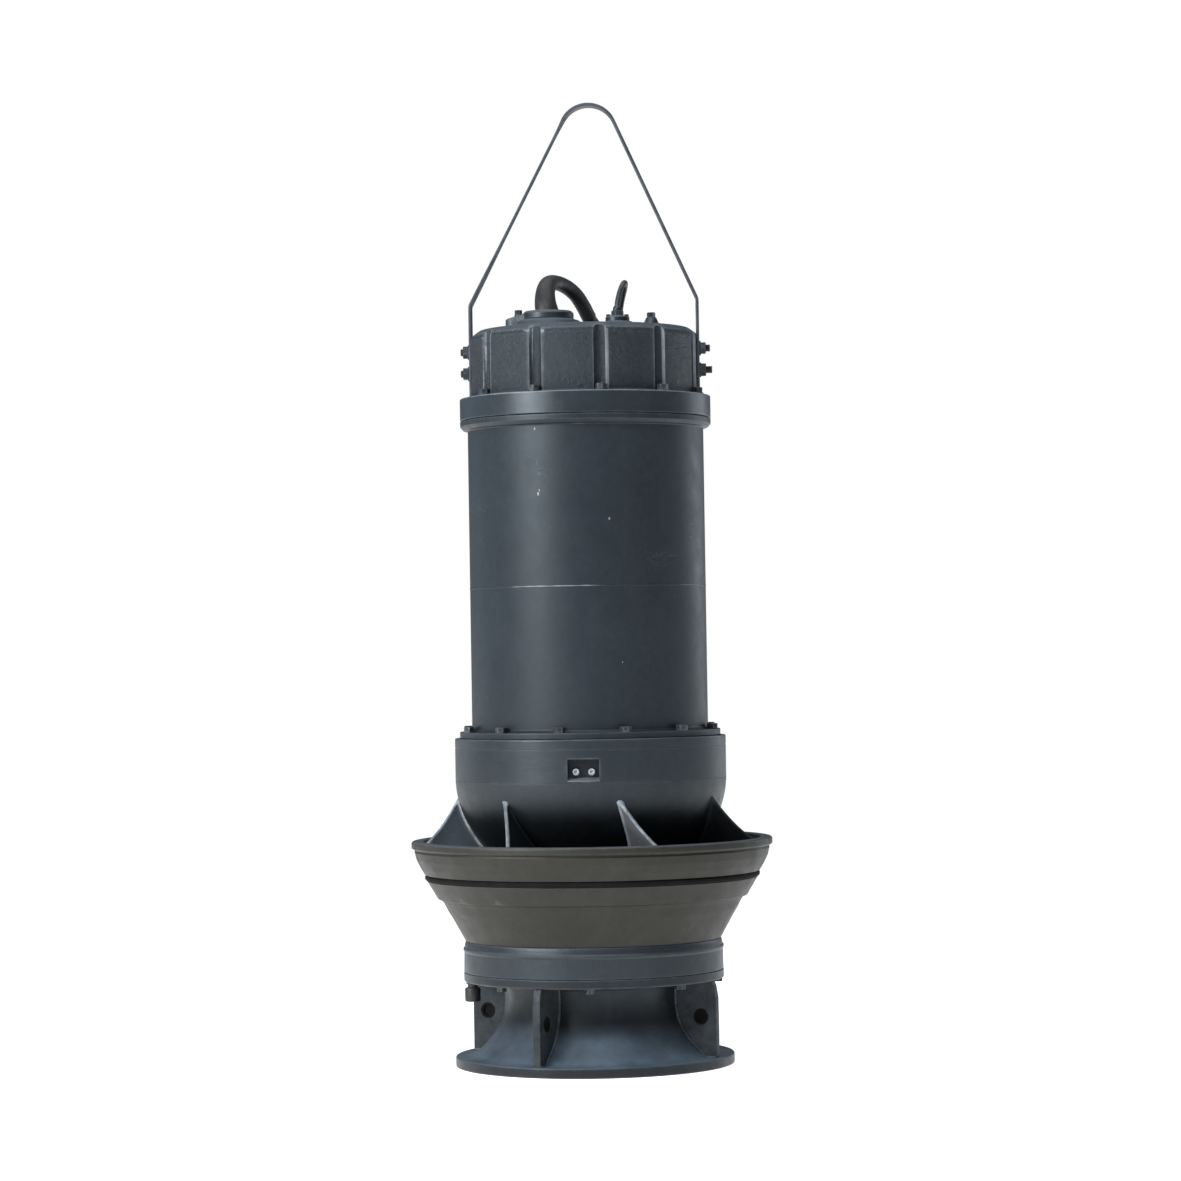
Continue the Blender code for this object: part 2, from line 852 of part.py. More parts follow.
def smooth_curve(points, step):
    """Points about a step apart on the curve through the given ones (a Catmull-Rom curve with centripetal spacing)."""
    pts = [Vector(p) for p in points]
    pts = [2 * pts[0] - pts[1]] + pts + [2 * pts[-1] - pts[-2]]
    out = []
    for p0, p1, p2, p3 in zip(pts, pts[1:], pts[2:], pts[3:]):
        t0 = 0.0
        t1 = t0 + (p1 - p0).length ** 0.5
        t2 = t1 + (p2 - p1).length ** 0.5
        t3 = t2 + (p3 - p2).length ** 0.5
        n = max(1, math.ceil((p2 - p1).length / step))
        for i in range(n):
            t = t1 + (t2 - t1) * i / n
            a1 = p0 * ((t1 - t) / (t1 - t0)) + p1 * ((t - t0) / (t1 - t0))
            a2 = p1 * ((t2 - t) / (t2 - t1)) + p2 * ((t - t1) / (t2 - t1))
            a3 = p2 * ((t3 - t) / (t3 - t2)) + p3 * ((t - t2) / (t3 - t2))
            b1 = a1 * ((t2 - t) / (t2 - t0)) + a2 * ((t - t0) / (t2 - t0))
            b2 = a2 * ((t3 - t) / (t3 - t1)) + a3 * ((t - t1) / (t3 - t1))
            out.append(b1 * ((t2 - t) / (t2 - t1)) + b2 * ((t - t1) / (t2 - t1)))
    out.append(pts[-2].copy())
    return out


def from_distance(points, start, stop=None):
    """The stretch of a line of points from one distance along it to another."""
    out, gone = [], 0.0
    for p, q in zip(points, points[1:]):
        step = (q - p).length
        if not out and gone + step >= start:
            out.append(p.lerp(q, (start - gone) / step))
        if out and stop is not None and gone + step >= stop:
            out.append(p.lerp(q, (stop - gone) / step))
            return out
        if out:
            out.append(q.copy())
        gone += step
    return out


def thin_out(points, straight_step, bend_step):
    """Fewer points where the line is straight."""
    out = [points[0]]
    for i in range(1, len(points) - 1):
        gone = (points[i] - out[-1]).length
        a = (points[i] - out[-1]).normalized()
        b = (points[i + 1] - points[i]).normalized()
        if gone >= straight_step or (gone >= bend_step and a.angle(b, 0.0) > 0.09):
            out.append(points[i])
    if (points[-1] - out[-1]).length < bend_step * 0.5:
        out.pop()
    out.append(points[-1])
    return out


def tube(name, points, radius, kind, sides):
    curve = bpy.data.curves.new(name, "CURVE")
    curve.dimensions = "3D"
    curve.bevel_depth = radius * MM
    curve.bevel_resolution = sides
    curve.use_fill_caps = True
    spline = curve.splines.new("POLY")
    spline.points.add(len(points) - 1)
    for place, p in zip(spline.points, points):
        place.co = (p[0] * MM, p[1] * MM, p[2] * MM, 1.0)
    obj = bpy.data.objects.new(name, curve)
    curve.materials.append(material(kind, name))
    bpy.context.scene.collection.objects.link(obj)
    obj.parent = assembly
    return obj


BOOT_L = 56.0
power_line = smooth_curve(POWER_ROUTE, 6.0)
power_line = from_distance(power_line, 0.0)
boot_line = from_distance(smooth_curve(POWER_ROUTE, 4.0), 0.0, BOOT_L)
rings = []
gone = 0.0
for i, p in enumerate(boot_line):
    if i:
        gone += (p - boot_line[i - 1]).length
    if 0 < i < len(boot_line) - 1 and (p.z < 1215.0 or i % 2):
        continue
    t = (boot_line[min(i + 1, len(boot_line) - 1)] - boot_line[max(i - 1, 0)]).normalized()
    if i == 0:
        sizes = [(p, 12.0), (Vector((-58.3, 1.8, 1203.8)), 12.0), (Vector((-58.3, 1.8, 1203.8)), 19.5)]
        t = Vector((0, 0, 1))
    else:
        sizes = [(p, 19.5 - 7.6 * (gone - 13.0) / (BOOT_L - 13.0))]
    side = Vector((1, 0, 0))
    side = (side - t * side.dot(t)).normalized()
    up = t.cross(side)
    for c, r in sizes:
        rings.append(
            [
                c
                + side * (r * math.cos(math.pi * j / 6))
                + up * (r * math.sin(math.pi * j / 6))
                for j in range(12)
            ]
        )
power_cable_boot = finish_mesh("power_cable_boot", lofted_mesh(rings), "black_rubber")
tube(
    "power_cable",
    thin_out(from_distance(power_line, BOOT_L + 2.0), 55.0, 26.0),
    POWER_D / 2,
    "black_rubber",
    3,
)
control_line = smooth_curve(CONTROL_ROUTE, 6.0)
tube(
    "control_cable",
    thin_out(from_distance(control_line, 0.3), 75.0, 17.0),
    CONTROL_D / 2,
    "black_rubber",
    2,
)
for name, out, inside, high in (
    ("power_cable_coil", COIL_OUT, COIL_IN, COIL_H),
    ("control_cable_coil", SMALL_OUT, SMALL_IN, SMALL_H),
):
    turned(
        name,
        [
            (out - 6.0, high),
            (out, high - 8.0),
            (out, 8.0),
            (out - 6.0, 0.0),
            (inside + 6.0, 0.0),
            (inside, 8.0),
            (inside, high - 8.0),
            (inside + 6.0, high),
        ],
        "black_rubber",
        steps=24,
        about=COIL_C,
    )


def cap_on_coil(name, radius, length, at_angle, at_r, floor_z):
    """A sealed cable end lying on top of its coil, along the turns."""
    z = floor_z + GAP + radius
    bm = lofted_mesh(
        [
            round_ring(radius * 0.8, -length / 2),
            round_ring(radius, -length / 2 + 2.0),
            round_ring(radius, length / 2 - radius * 0.5),
            round_ring(radius * 0.86, length / 2 - radius * 0.15),
            round_ring(radius * 0.5, length / 2),
        ]
    )
    transform(bm, Matrix.Rotation(math.pi / 2, 4, "X"))
    transform(bm, Matrix.Translation((at_r, 0, 0)))
    transform(bm, about_z(at_angle))
    transform(bm, Matrix.Translation((COIL_C[0], COIL_C[1], z)))
    return finish_mesh(name, bm, "black_rubber")


cap_on_coil("power_cable_cap", 13.0, 46.0, 200.0, 128.0, COIL_H)
cap_on_coil("control_cable_cap", 6.5, 26.0, 230.0, 52.0, SMALL_H)

# ---------------------------------------------------------------- turning parts
# Shaft with its impeller, rotor core and inner bearing races.
shaft = turned(
    "shaft",
    [
        (0.0, 1078.0),
        (16.0, 1078.0),
        (17.5, 1076.0),
        (17.5, 1049.0),
        (22.5, 1048.5),
        (22.5, 1010.0),
        (26.0, 1009.0),
        (SHAFT_R, 905.0),
        (SHAFT_R, 602.0),
        (32.0, 600.0),
        (32.0, 560.0),
        (27.2, 558.0),
        (27.2, 480.0),
        (25.0, 478.0),
        (25.0, 300.0),
        (20.0, 262.0),
        (20.0, 158.0),
        (12.0, 158.0),
        (12.0, 140.0),
        (0.0, 140.0),
    ],
    "bare_steel",
    steps=16,
    parent=rotor_axis,
)
rotor_core = turned(
    "rotor_core",
    [
        (70.0, 924.0),
        (104.0, 924.0),
        (108.5, 918.0),
        (108.5, 612.0),
        (104.0, 606.0),
        (70.0, 606.0),
        (SHAFT_R + GAP, 618.0),
        (SHAFT_R + GAP, 904.0),
    ],
    "core_steel",
    steps=24,
    parent=rotor_axis,
)
stator_core = turned(
    "stator_core",
    [
        (109.6, 905.0),
        (TUBE_IN_R - 0.7, 905.0),
        (TUBE_IN_R - 0.7, 620.0),
        (109.6, 620.0),
    ],
    "core_steel",
)
for name, z0, z1 in (("winding_upper", 905.3, 962.0), ("winding_lower", 563.0, 619.7)):
    turned(
        name,
        [
            (118.0, z1 - 6.0),
            (124.0, z1),
            (160.0, z1),
            (168.0, z1 - 6.0),
            (168.0, z0 + 6.0),
            (160.0, z0),
            (124.0, z0),
            (118.0, z0 + 6.0),
        ],
        "copper",
        steps=24,
    )


def bearing(name, r_in, r_out, z0, z1, balls):
    """Inner race, outer race and a cage that holds the balls, each one body."""
    mid, wide, z = (r_in + r_out) / 2, (r_out - r_in), (z0 + z1) / 2
    ball = wide * 0.29
    inner_top, outer_low = mid - ball - 0.35, mid + ball + 0.35
    turned(
        name + "_inner",
        [(r_in + GAP, z1), (inner_top, z1), (inner_top, z0), (r_in + GAP, z0)],
        "bare_steel",
        steps=24,
        parent=rotor_axis,
    )
    turned(
        name + "_outer",
        [(outer_low, z1), (r_out, z1), (r_out, z0), (outer_low, z0)],
        "bare_steel",
        steps=24,
    )
    axis = empty(name + "_cage_axis")
    cage = turned(
        name + "_cage",
        [
            (mid - 2.6, z + ball * 0.55),
            (mid + 2.6, z + ball * 0.55),
            (mid + 2.6, z - ball * 0.55),
            (mid - 2.6, z - ball * 0.55),
        ],
        "bronze",
        steps=24,
        parent=axis,
    )
    bm = bmesh.new()
    for i in range(balls):
        a = 2 * math.pi * (i + 0.25) / balls
        bmesh.ops.create_uvsphere(
            bm,
            u_segments=8,
            v_segments=5,
            radius=ball,
            matrix=Matrix.Translation((mid * math.cos(a), mid * math.sin(a), z)),
        )
    cut(cage, finish_mesh(name + "_balls", bm, "", helper=True), "UNION")


bearing("upper_bearing", 22.5, 50.0, 1014.0, 1041.0, 7)
bearing("lower_bearing", 27.2, 60.0, 500.0, 531.0, 7)

upper_bearing_bracket = turned(
    "upper_bearing_bracket",
    [
        (50.3, 1046.0),
        (60.0, 1046.0),
        (66.0, 1030.0),
        (150.0, 1016.0),
        (167.7, 1019.3),
        (TUBE_IN_R - 1.5, 1019.3),
        (TUBE_IN_R - 1.5, 1004.0),
        (150.0, 1002.0),
        (62.0, 1008.0),
        (50.3, 1009.0),
    ],
    "paint",
    steps=24,
)
lower_bearing_bracket = turned(
    "lower_bearing_bracket",
    [
        (60.3, 545.0),
        (72.0, 545.0),
        (80.0, 530.0),
        (150.0, 521.0),
        (177.3, 521.0),
        (180.4, 521.0),
        (180.4, 502.3),
        (150.0, 500.0),
        (76.0, 494.0),
        (60.3, 494.0),
    ],
    "paint",
    steps=24,
)
seal_plate = turned(
    "seal_plate",
    [
        (46.0, 441.5),
        (60.0, 441.5),
        (120.0, 438.0),
        (203.4, 438.0),
        (203.4, 431.0),
        (120.0, 428.0),
        (60.0, 420.0),
        (46.0, 420.0),
    ],
    "paint",
    steps=24,
)
mech_seal_rotor = turned(
    "mech_seal_rotor",
    [(25.3, 470.0), (38.0, 470.0), (40.0, 466.0), (40.0, 452.5), (25.3, 452.5)],
    "carbide",
    steps=24,
    parent=rotor_axis,
)
mech_seal_seat = turned(
    "mech_seal_seat",
    [(28.0, 452.2), (45.2, 452.2), (45.2, 425.0), (33.0, 425.0), (28.0, 436.0)],
    "carbide",
    steps=16,
)

# Impeller: a hub cone with raking blades, one casting, held by a nose nut.
impeller_hub = turned_mesh(
    [
        (20.3, 260.0),
        (92.0, 260.0),
        (112.0, 261.5),
        (116.0, 257.0),
        (100.0, 232.0),
        (76.0, 198.0),
        (56.0, 172.0),
        (46.0, 158.0),
        (20.3, 158.0),
    ],
    steps=24,
)
impeller = finish_mesh("impeller", impeller_hub, "paint", parent=rotor_axis)


def blade_out(z):
    return along([(154.0, 131.0), (166.0, 137.0), (200.0, 173.0), (258.0, 220.0)], z)


def blade_in(z):
    return along([(158.0, 44.0), (198.0, 74.0), (257.0, 113.0)], z)


for k in range(BLADES):
    rows, across = 8, 2
    bm = bmesh.new()
    sides = []
    for s in (-1, 1):
        side = []
        for i in range(rows + 1):
            line = []
            for j in range(across + 1):
                u, v = j / across, i / rows
                top, low = 257.0 - 3.0 * u, 163.0 + 3.0 * u
                z = low + (top - low) * v
                d = z - low
                r = blade_in(z) - 4.0 + (blade_out(z) - 1.5 - blade_in(z) + 4.0) * u
                az = 90.0 * k + 0.95 * d - 0.0018 * d * d - 14.0 * u
                half = 4.5 / r * (1.7 - 0.5 * u)
                line.append(bm.verts.new(azimuth(az + s * math.degrees(half), r, z)))
            side.append(line)
        sides.append(side)
    a, b = sides
    for i in range(rows):
        for j in range(across):
            bm.faces.new((a[i][j], a[i][j + 1], a[i + 1][j + 1], a[i + 1][j]))
            bm.faces.new((b[i][j], b[i + 1][j], b[i + 1][j + 1], b[i][j + 1]))
        for j in (0, across):
            bm.faces.new((a[i][j], a[i + 1][j], b[i + 1][j], b[i][j]))
    for j in range(across):
        for i in (0, rows):
            bm.faces.new((a[i][j], b[i][j], b[i][j + 1], a[i][j + 1]))
    cut(
        impeller,
        finish_mesh(f"blade_{k + 1}", bm, "", helper=True),
        "UNION",
    )
impeller_nut = finish_mesh(
    "impeller_nut",
    lofted_mesh(
        [
            round_ring(6.0, 112.0, 16),
            round_ring(20.0, 114.0, 16),
            round_ring(33.0, 122.0, 16),
            round_ring(42.0, 138.0, 16),
            round_ring(45.0, 157.6, 16),
        ]
    ),
    "paint",
    parent=rotor_axis,
)
nut_bore = finish_mesh(
    "nut_bore",
    lofted_mesh([round_ring(13.2, 137.0), round_ring(13.2, 159.0)]),
    "",
    helper=True,
)
cut(impeller_nut, nut_bore)
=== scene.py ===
import math

import bmesh
import bpy
import numpy as np
from mathutils import Matrix, Vector, noise


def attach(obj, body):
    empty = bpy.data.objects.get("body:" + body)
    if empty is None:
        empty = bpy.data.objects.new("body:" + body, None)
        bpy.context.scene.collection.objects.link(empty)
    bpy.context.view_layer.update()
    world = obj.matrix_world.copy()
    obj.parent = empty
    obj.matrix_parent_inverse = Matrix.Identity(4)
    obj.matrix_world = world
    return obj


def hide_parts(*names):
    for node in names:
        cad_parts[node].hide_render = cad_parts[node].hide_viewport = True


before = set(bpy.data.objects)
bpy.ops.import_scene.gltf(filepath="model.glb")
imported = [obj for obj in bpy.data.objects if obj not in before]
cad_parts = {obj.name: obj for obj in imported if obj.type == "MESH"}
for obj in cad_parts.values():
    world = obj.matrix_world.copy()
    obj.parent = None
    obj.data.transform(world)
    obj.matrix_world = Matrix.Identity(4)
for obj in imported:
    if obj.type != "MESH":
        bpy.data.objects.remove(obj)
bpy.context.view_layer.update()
MM = 0.001
TAU = 2 * math.pi

# ------------------------------------------------------------------ camera

cam_data = bpy.data.cameras.new("camera")
cam_data.sensor_width = 36.0
cam_data.lens = 3700.0 / 1181.0 * 36.0
cam = bpy.data.objects.new("camera", cam_data)
bpy.context.scene.collection.objects.link(cam)
pitch = math.atan(60.5 / 3700.0)
look = Vector((0.0, math.cos(pitch), math.sin(pitch)))
lean = 0.0158
up = Vector((lean, 0.0, 1.0)).normalized()
right = look.cross(up).normalized()
up = right.cross(look).normalized()
cam.matrix_world = Matrix.Translation((0.004, -5.92, 0.658)) @ Matrix(
    ((right.x, up.x, -look.x), (right.y, up.y, -look.y), (right.z, up.z, -look.z))
).to_4x4()
cam_data.clip_end = 60.0
bpy.context.scene.camera = cam

# --------------------------------------------------------------- materials


def new_material(name):
    mat = bpy.data.materials.new(name)
    mat.use_nodes = True
    nodes, links = mat.node_tree.nodes, mat.node_tree.links
    nodes.clear()
    out = nodes.new("ShaderNodeOutputMaterial")
    shader = nodes.new("ShaderNodeBsdfPrincipled")
    links.new(shader.outputs[0], out.inputs[0])
    coord = nodes.new("ShaderNodeTexCoord")
    return mat, nodes, links, shader, coord


def noise_node(nodes, links, coord, scale, detail=4.0, rough=0.55, stretch=None):
    n = nodes.new("ShaderNodeTexNoise")
    n.inputs["Scale"].default_value = scale
    n.inputs["Detail"].default_value = detail
    n.inputs["Roughness"].default_value = rough
    if stretch:
        m = nodes.new("ShaderNodeMapping")
        m.inputs["Scale"].default_value = stretch
        links.new(coord.outputs["Object"], m.inputs["Vector"])
        links.new(m.outputs[0], n.inputs["Vector"])
    else:
        links.new(coord.outputs["Object"], n.inputs["Vector"])
    return n


def ramp(nodes, links, source, stops):
    r = nodes.new("ShaderNodeValToRGB")
    els = r.color_ramp.elements
    while len(els) < len(stops):
        els.new(0.5)
    for e, (p, c) in zip(els, stops):
        e.position = p
        e.color = (*c, 1.0) if len(c) == 3 else c
    links.new(source, r.inputs["Fac"])
    return r


def mixed(nodes, links, fac, a, b, kind="MIX"):
    m = nodes.new("ShaderNodeMix")
    m.data_type = "RGBA"
    m.blend_type = kind
    for sock, value in ((0, fac), (6, a), (7, b)):
        if hasattr(value, "links"):
            links.new(value, m.inputs[sock])
        elif sock == 0:
            m.inputs[0].default_value = value
        else:
            m.inputs[sock].default_value = (*value, 1.0)
    return m.outputs[2]


def ranged(nodes, links, source, low, high, to_low, to_high):
    m = nodes.new("ShaderNodeMapRange")
    m.inputs[1].default_value = low
    m.inputs[2].default_value = high
    m.inputs[3].default_value = to_low
    m.inputs[4].default_value = to_high
    links.new(source, m.inputs[0])
    return m.outputs[0]


def grey(v):
    return (v, v, v)


def paint(
    name,
    base,
    light,
    rough=(0.34, 0.5),
    peel=0.12,
    cast=0.0,
    grain_depth=0.0015,
    scuffs=0.0,
    edge=(0.085, 0.095, 0.105),
    edge_amount=0.7,
    dust=0.25,
    lines=0.0,
    metallic=0.0,
    coat=0.0,
    up_dust_and_sheen=0.0,
    gloss=0.5,
    tint=(0.8, 0.92, 1.0),
    up_dust_and_sheen_tone=(0.085, 0.105, 0.13),
    shade_low=None,
):
    """Worn machine paint: two tones in soft clouds, fine dust, lighter edges (wear, and on some paints a painted
    highlight), pale upward faces (settled dust and a painted sky reflection), painted shade low down if asked, orange
    peel or cast grain, light scratches.
    """
    mat, nodes, links, shader, coord = new_material(name)
    clouds = noise_node(nodes, links, coord, 5.0, 6.0, 0.6)
    tone = ramp(nodes, links, clouds.outputs[0], [(0.32, base), (0.68, light)])
    fine = noise_node(nodes, links, coord, 90.0, 5.0, 0.65)
    speck = ramp(
        nodes, links, fine.outputs[0], [(0.42, grey(0.9)), (0.66, grey(1.12))]
    )
    colour = mixed(nodes, links, 1.0, tone.outputs[0], speck.outputs[0], "MULTIPLY")
    # Dust and water marks that run down.
    runs = noise_node(nodes, links, coord, 14.0, 5.0, 0.7, (1.0, 1.0, 0.16))
    dusty = ramp(
        nodes, links, runs.outputs[0], [(0.55, grey(0.0)), (0.78, grey(dust))]
    )
    colour = mixed(nodes, links, dusty.outputs[0], colour, (0.045, 0.048, 0.052))
    geo = nodes.new("ShaderNodeNewGeometry")
    if up_dust_and_sheen:
        # Pale where the surface faces up: settled dust, and a painted reflection of the sky.
        split = nodes.new("ShaderNodeSeparateXYZ")
        links.new(geo.outputs["Normal"], split.inputs[0])
        facing = ranged(nodes, links, split.outputs[2], 0.3, 0.85, 0.0, up_dust_and_sheen)
        patchy = noise_node(nodes, links, coord, 18.0, 5.0, 0.65)
        where_up = ranged(nodes, links, patchy.outputs[0], 0.3, 0.65, 0.45, 1.0)
        pale_up = nodes.new("ShaderNodeMath")
        pale_up.operation = "MULTIPLY"
        links.new(facing, pale_up.inputs[0])
        links.new(where_up, pale_up.inputs[1])
        colour = mixed(nodes, links, pale_up.outputs[0], colour, up_dust_and_sheen_tone)
    # Edges lighter: rubbed wear, and where the edge colour is pale (vanes, cover) a painted highlight on lit edges.
    edge_mask = ramp(
        nodes,
        links,
        geo.outputs["Pointiness"],
        [(0.505, grey(0.0)), (0.545, grey(edge_amount))],
    )
    breakup = noise_node(nodes, links, coord, 40.0, 4.0, 0.7)
    broken = ramp(
        nodes, links, breakup.outputs[0], [(0.35, grey(0.25)), (0.6, grey(1.0))]
    )
    amount = mixed(nodes, links, 1.0, edge_mask.outputs[0], broken.outputs[0], "MULTIPLY")
    colour = mixed(nodes, links, amount, colour, edge)
    if scuffs:
        # Short pale scratches.
        wave = noise_node(nodes, links, coord, 26.0, 2.0, 0.5, (1.0, 1.0, 5.0))
        thin = ramp(
            nodes,
            links,
            wave.outputs[0],
            [(0.495, grey(0.0)), (0.5, grey(1.0)), (0.505, grey(0.0))],
        )
        where = noise_node(nodes, links, coord, 7.0, 3.0, 0.6)
        gate = ramp(
            nodes, links, where.outputs[0], [(0.6, grey(0.0)), (0.7, grey(scuffs))]
        )
        scratch = mixed(
            nodes, links, 1.0, thin.outputs[0], gate.outputs[0], "MULTIPLY"
        )
        colour = mixed(nodes, links, scratch, colour, (0.2, 0.21, 0.22))
    links.new(colour, shader.inputs["Base Color"])
    rough_src = noise_node(nodes, links, coord, 30.0, 5.0, 0.6)
    links.new(
        ranged(nodes, links, rough_src.outputs[0], 0.3, 0.7, rough[0], rough[1]),
        shader.inputs["Roughness"],
    )
    shader.inputs["Metallic"].default_value = metallic
    shader.inputs["Specular IOR Level"].default_value = gloss
    if shade_low:
        # Painted shade: darker and less glossy low down, full colour above.
        low, high, least = shade_low
        place = nodes.new("ShaderNodeSeparateXYZ")
        links.new(coord.outputs["Object"], place.inputs[0])
        fade = ranged(nodes, links, place.outputs[2], low, high, least, 1.0)
        shaded_colour = mixed(nodes, links, 1.0, colour, fade, "MULTIPLY")
        links.new(shaded_colour, shader.inputs["Base Color"])
        links.new(
            ranged(nodes, links, place.outputs[2], low, high, gloss * least, gloss),
            shader.inputs["Specular IOR Level"],
        )
    # Specular tint paints the colour of the reflected light into the material: bluish on most paints, warm on the cone.
    shader.inputs["Specular Tint"].default_value = (*tint, 1.0)
    shader.inputs["Coat Weight"].default_value = coat
    shader.inputs["Coat Roughness"].default_value = 0.25
    peel_n = noise_node(nodes, links, coord, 420.0, 3.0, 0.5)
    bump = nodes.new("ShaderNodeBump")
    bump.inputs["Strength"].default_value = peel
    bump.inputs["Distance"].default_value = 0.0006
    links.new(peel_n.outputs[0], bump.inputs["Height"])
    normal = bump.outputs[0]
    if cast:
        grain = noise_node(nodes, links, coord, 130.0, 6.0, 0.7)
        b2 = nodes.new("ShaderNodeBump")
        b2.inputs["Strength"].default_value = cast
        b2.inputs["Distance"].default_value = grain_depth
        links.new(grain.outputs[0], b2.inputs["Height"])
        links.new(normal, b2.inputs["Normal"])
        normal = b2.outputs[0]
    if lines:
        turn = noise_node(nodes, links, coord, 3.0, 3.0, 0.6, (0.15, 0.15, 260.0))
        b3 = nodes.new("ShaderNodeBump")
        b3.inputs["Strength"].default_value = lines
        b3.inputs["Distance"].default_value = 0.0006
        links.new(turn.outputs[0], b3.inputs["Height"])
        links.new(normal, b3.inputs["Normal"])
        normal = b3.outputs[0]
    links.new(normal, shader.inputs["Normal"])
    return mat


def metal(name, base, light, rough=(0.25, 0.45), metallic=1.0, scale=60.0, bump_k=0.15):
    mat, nodes, links, shader, coord = new_material(name)
    a = noise_node(nodes, links, coord, scale, 5.0, 0.6)
    tone = ramp(nodes, links, a.outputs[0], [(0.3, base), (0.7, light)])
    links.new(tone.outputs[0], shader.inputs["Base Color"])
    b = noise_node(nodes, links, coord, scale * 2.3, 4.0, 0.6)
    links.new(
        ranged(nodes, links, b.outputs[0], 0.3, 0.7, rough[0], rough[1]),
        shader.inputs["Roughness"],
    )
    shader.inputs["Metallic"].default_value = metallic
    bump = nodes.new("ShaderNodeBump")
    bump.inputs["Strength"].default_value = bump_k
    bump.inputs["Distance"].default_value = 0.0005
    links.new(b.outputs[0], bump.inputs["Height"])
    links.new(bump.outputs[0], shader.inputs["Normal"])
    return mat


def rubber(name, base=(0.009, 0.009, 0.01), light=(0.022, 0.022, 0.025), rough=(0.42, 0.62), gloss=0.5):
    mat, nodes, links, shader, coord = new_material(name)
    shader.inputs["Specular IOR Level"].default_value = gloss
    a = noise_node(nodes, links, coord, 40.0, 5.0, 0.65)
    tone = ramp(nodes, links, a.outputs[0], [(0.35, base), (0.75, light)])
    links.new(tone.outputs[0], shader.inputs["Base Color"])
    b = noise_node(nodes, links, coord, 160.0, 4.0, 0.6)
    links.new(
        ranged(nodes, links, b.outputs[0], 0.3, 0.7, rough[0], rough[1]),
        shader.inputs["Roughness"],
    )
    bump = nodes.new("ShaderNodeBump")
    bump.inputs["Strength"].default_value = 0.2
    bump.inputs["Distance"].default_value = 0.0004
    links.new(b.outputs[0], bump.inputs["Height"])
    links.new(bump.outputs[0], shader.inputs["Normal"])
    return mat


BASE, LIGHT = (0.0088, 0.0122, 0.0165), (0.0138, 0.0182, 0.0235)
TUBE_PAINT = paint(
    "tube_paint", BASE, LIGHT, (0.38, 0.5), 0.1, 0.05, scuffs=0.8, dust=0.12, gloss=0.37
)
CAST_PAINT = paint(
    "cast_paint", (0.0095, 0.012, 0.0148), (0.015, 0.0185, 0.022), (0.36, 0.5), 0.12, 0.22, up_dust_and_sheen=0.9
)
# The bell's pale blue upward faces are a painted sky reflection on the flare, together with settled dust.
BELL_PAINT = paint(
    "bell_paint",
    (0.0055, 0.0066, 0.008),
    (0.0095, 0.0115, 0.0138),
    (0.34, 0.48),
    0.12,
    0.2,
    up_dust_and_sheen=1.0,
    gloss=0.34,
    up_dust_and_sheen_tone=(0.1, 0.132, 0.17),
)
# A pale paint laid on lit edges and strips as a painted highlight.
PAINTED_HIGHLIGHT = paint(
    "painted_highlight",
    (0.06, 0.069, 0.082),
    (0.2, 0.215, 0.235),
    (0.3, 0.45),
    0.1,
    0.2,
    edge_amount=0.0,
    dust=0.0,
)
CONE_PAINT = paint(
    "cone_paint",
    (0.0112, 0.0112, 0.0086),
    (0.016, 0.016, 0.0128),
    (0.44, 0.58),
    0.12,
    0.18,
    edge_amount=0.3,
    up_dust_and_sheen=0.7,
    gloss=0.36,
    tint=(1.0, 0.985, 0.88),
)
# The cover's pale edge colour is a painted highlight on its lit edges.
COVER_PAINT = paint(
    "cover_paint",
    (0.0085, 0.0112, 0.0148),
    (0.0165, 0.0205, 0.0255),
    (0.34, 0.5),
    0.12,
    0.85,
    0.0035,
    edge=(0.2, 0.23, 0.26),
    edge_amount=1.0,
    up_dust_and_sheen=0.6,
    gloss=0.36,
)
TURNED_PAINT = paint(
    "turned_paint", BASE, LIGHT, (0.29, 0.4), 0.08, 0.06, lines=0.3, dust=0.12, up_dust_and_sheen=0.8
)
# The hub is darkened low down: painted shade in the bowl between the vanes.
HUB_PAINT = paint(
    "hub_paint",
    (0.0095, 0.0115, 0.0138),
    (0.014, 0.0165, 0.019),
    (0.34, 0.48),
    0.12,
    0.2,
    gloss=0.46,
    shade_low=(0.392, 0.447, 0.32),
)
RIB_PAINT = paint(
    "rib_paint",
    (0.0045, 0.0054, 0.0065),
    (0.0085, 0.01, 0.012),
    (0.42, 0.56),
    0.12,
    0.25,
    gloss=0.25,
    edge_amount=0.5,
)
# Vane paint is lighter than the other castings, a painted lit side, and its pale edge colour is a painted highlight.
VANE_PAINT = paint(
    "vane_paint",
    (0.017, 0.021, 0.026),
    (0.026, 0.031, 0.037),
    (0.34, 0.48),
    0.12,
    0.2,
    edge=(0.26, 0.29, 0.32),
    edge_amount=1.0,
    up_dust_and_sheen=0.8,
)
VANE_LIT = paint(
    "vane_lit_face",
    (0.055, 0.062, 0.07),
    (0.13, 0.142, 0.155),
    (0.42, 0.56),
    0.12,
    0.3,
    edge=(0.26, 0.29, 0.32),
    edge_amount=1.0,
)
VANE_SHADE = paint(
    "vane_shade",
    (0.0045, 0.0055, 0.0065),
    (0.008, 0.0095, 0.011),
    (0.45, 0.6),
    0.12,
    0.25,
    edge_amount=0.15,
    gloss=0.25,
)
BAR_PAINT = paint(
    "bar_paint",
    (0.013, 0.014, 0.022),
    (0.023, 0.025, 0.036),
    (0.35, 0.5),
    0.1,
    0.15,
    edge_amount=0.8,
)
BOLT = paint(
    "bolt_paint",
    (0.008, 0.01, 0.013),
    (0.015, 0.018, 0.023),
    (0.3, 0.45),
    0.1,
    0.1,
    metallic=0.3,
    up_dust_and_sheen=0.6,
)
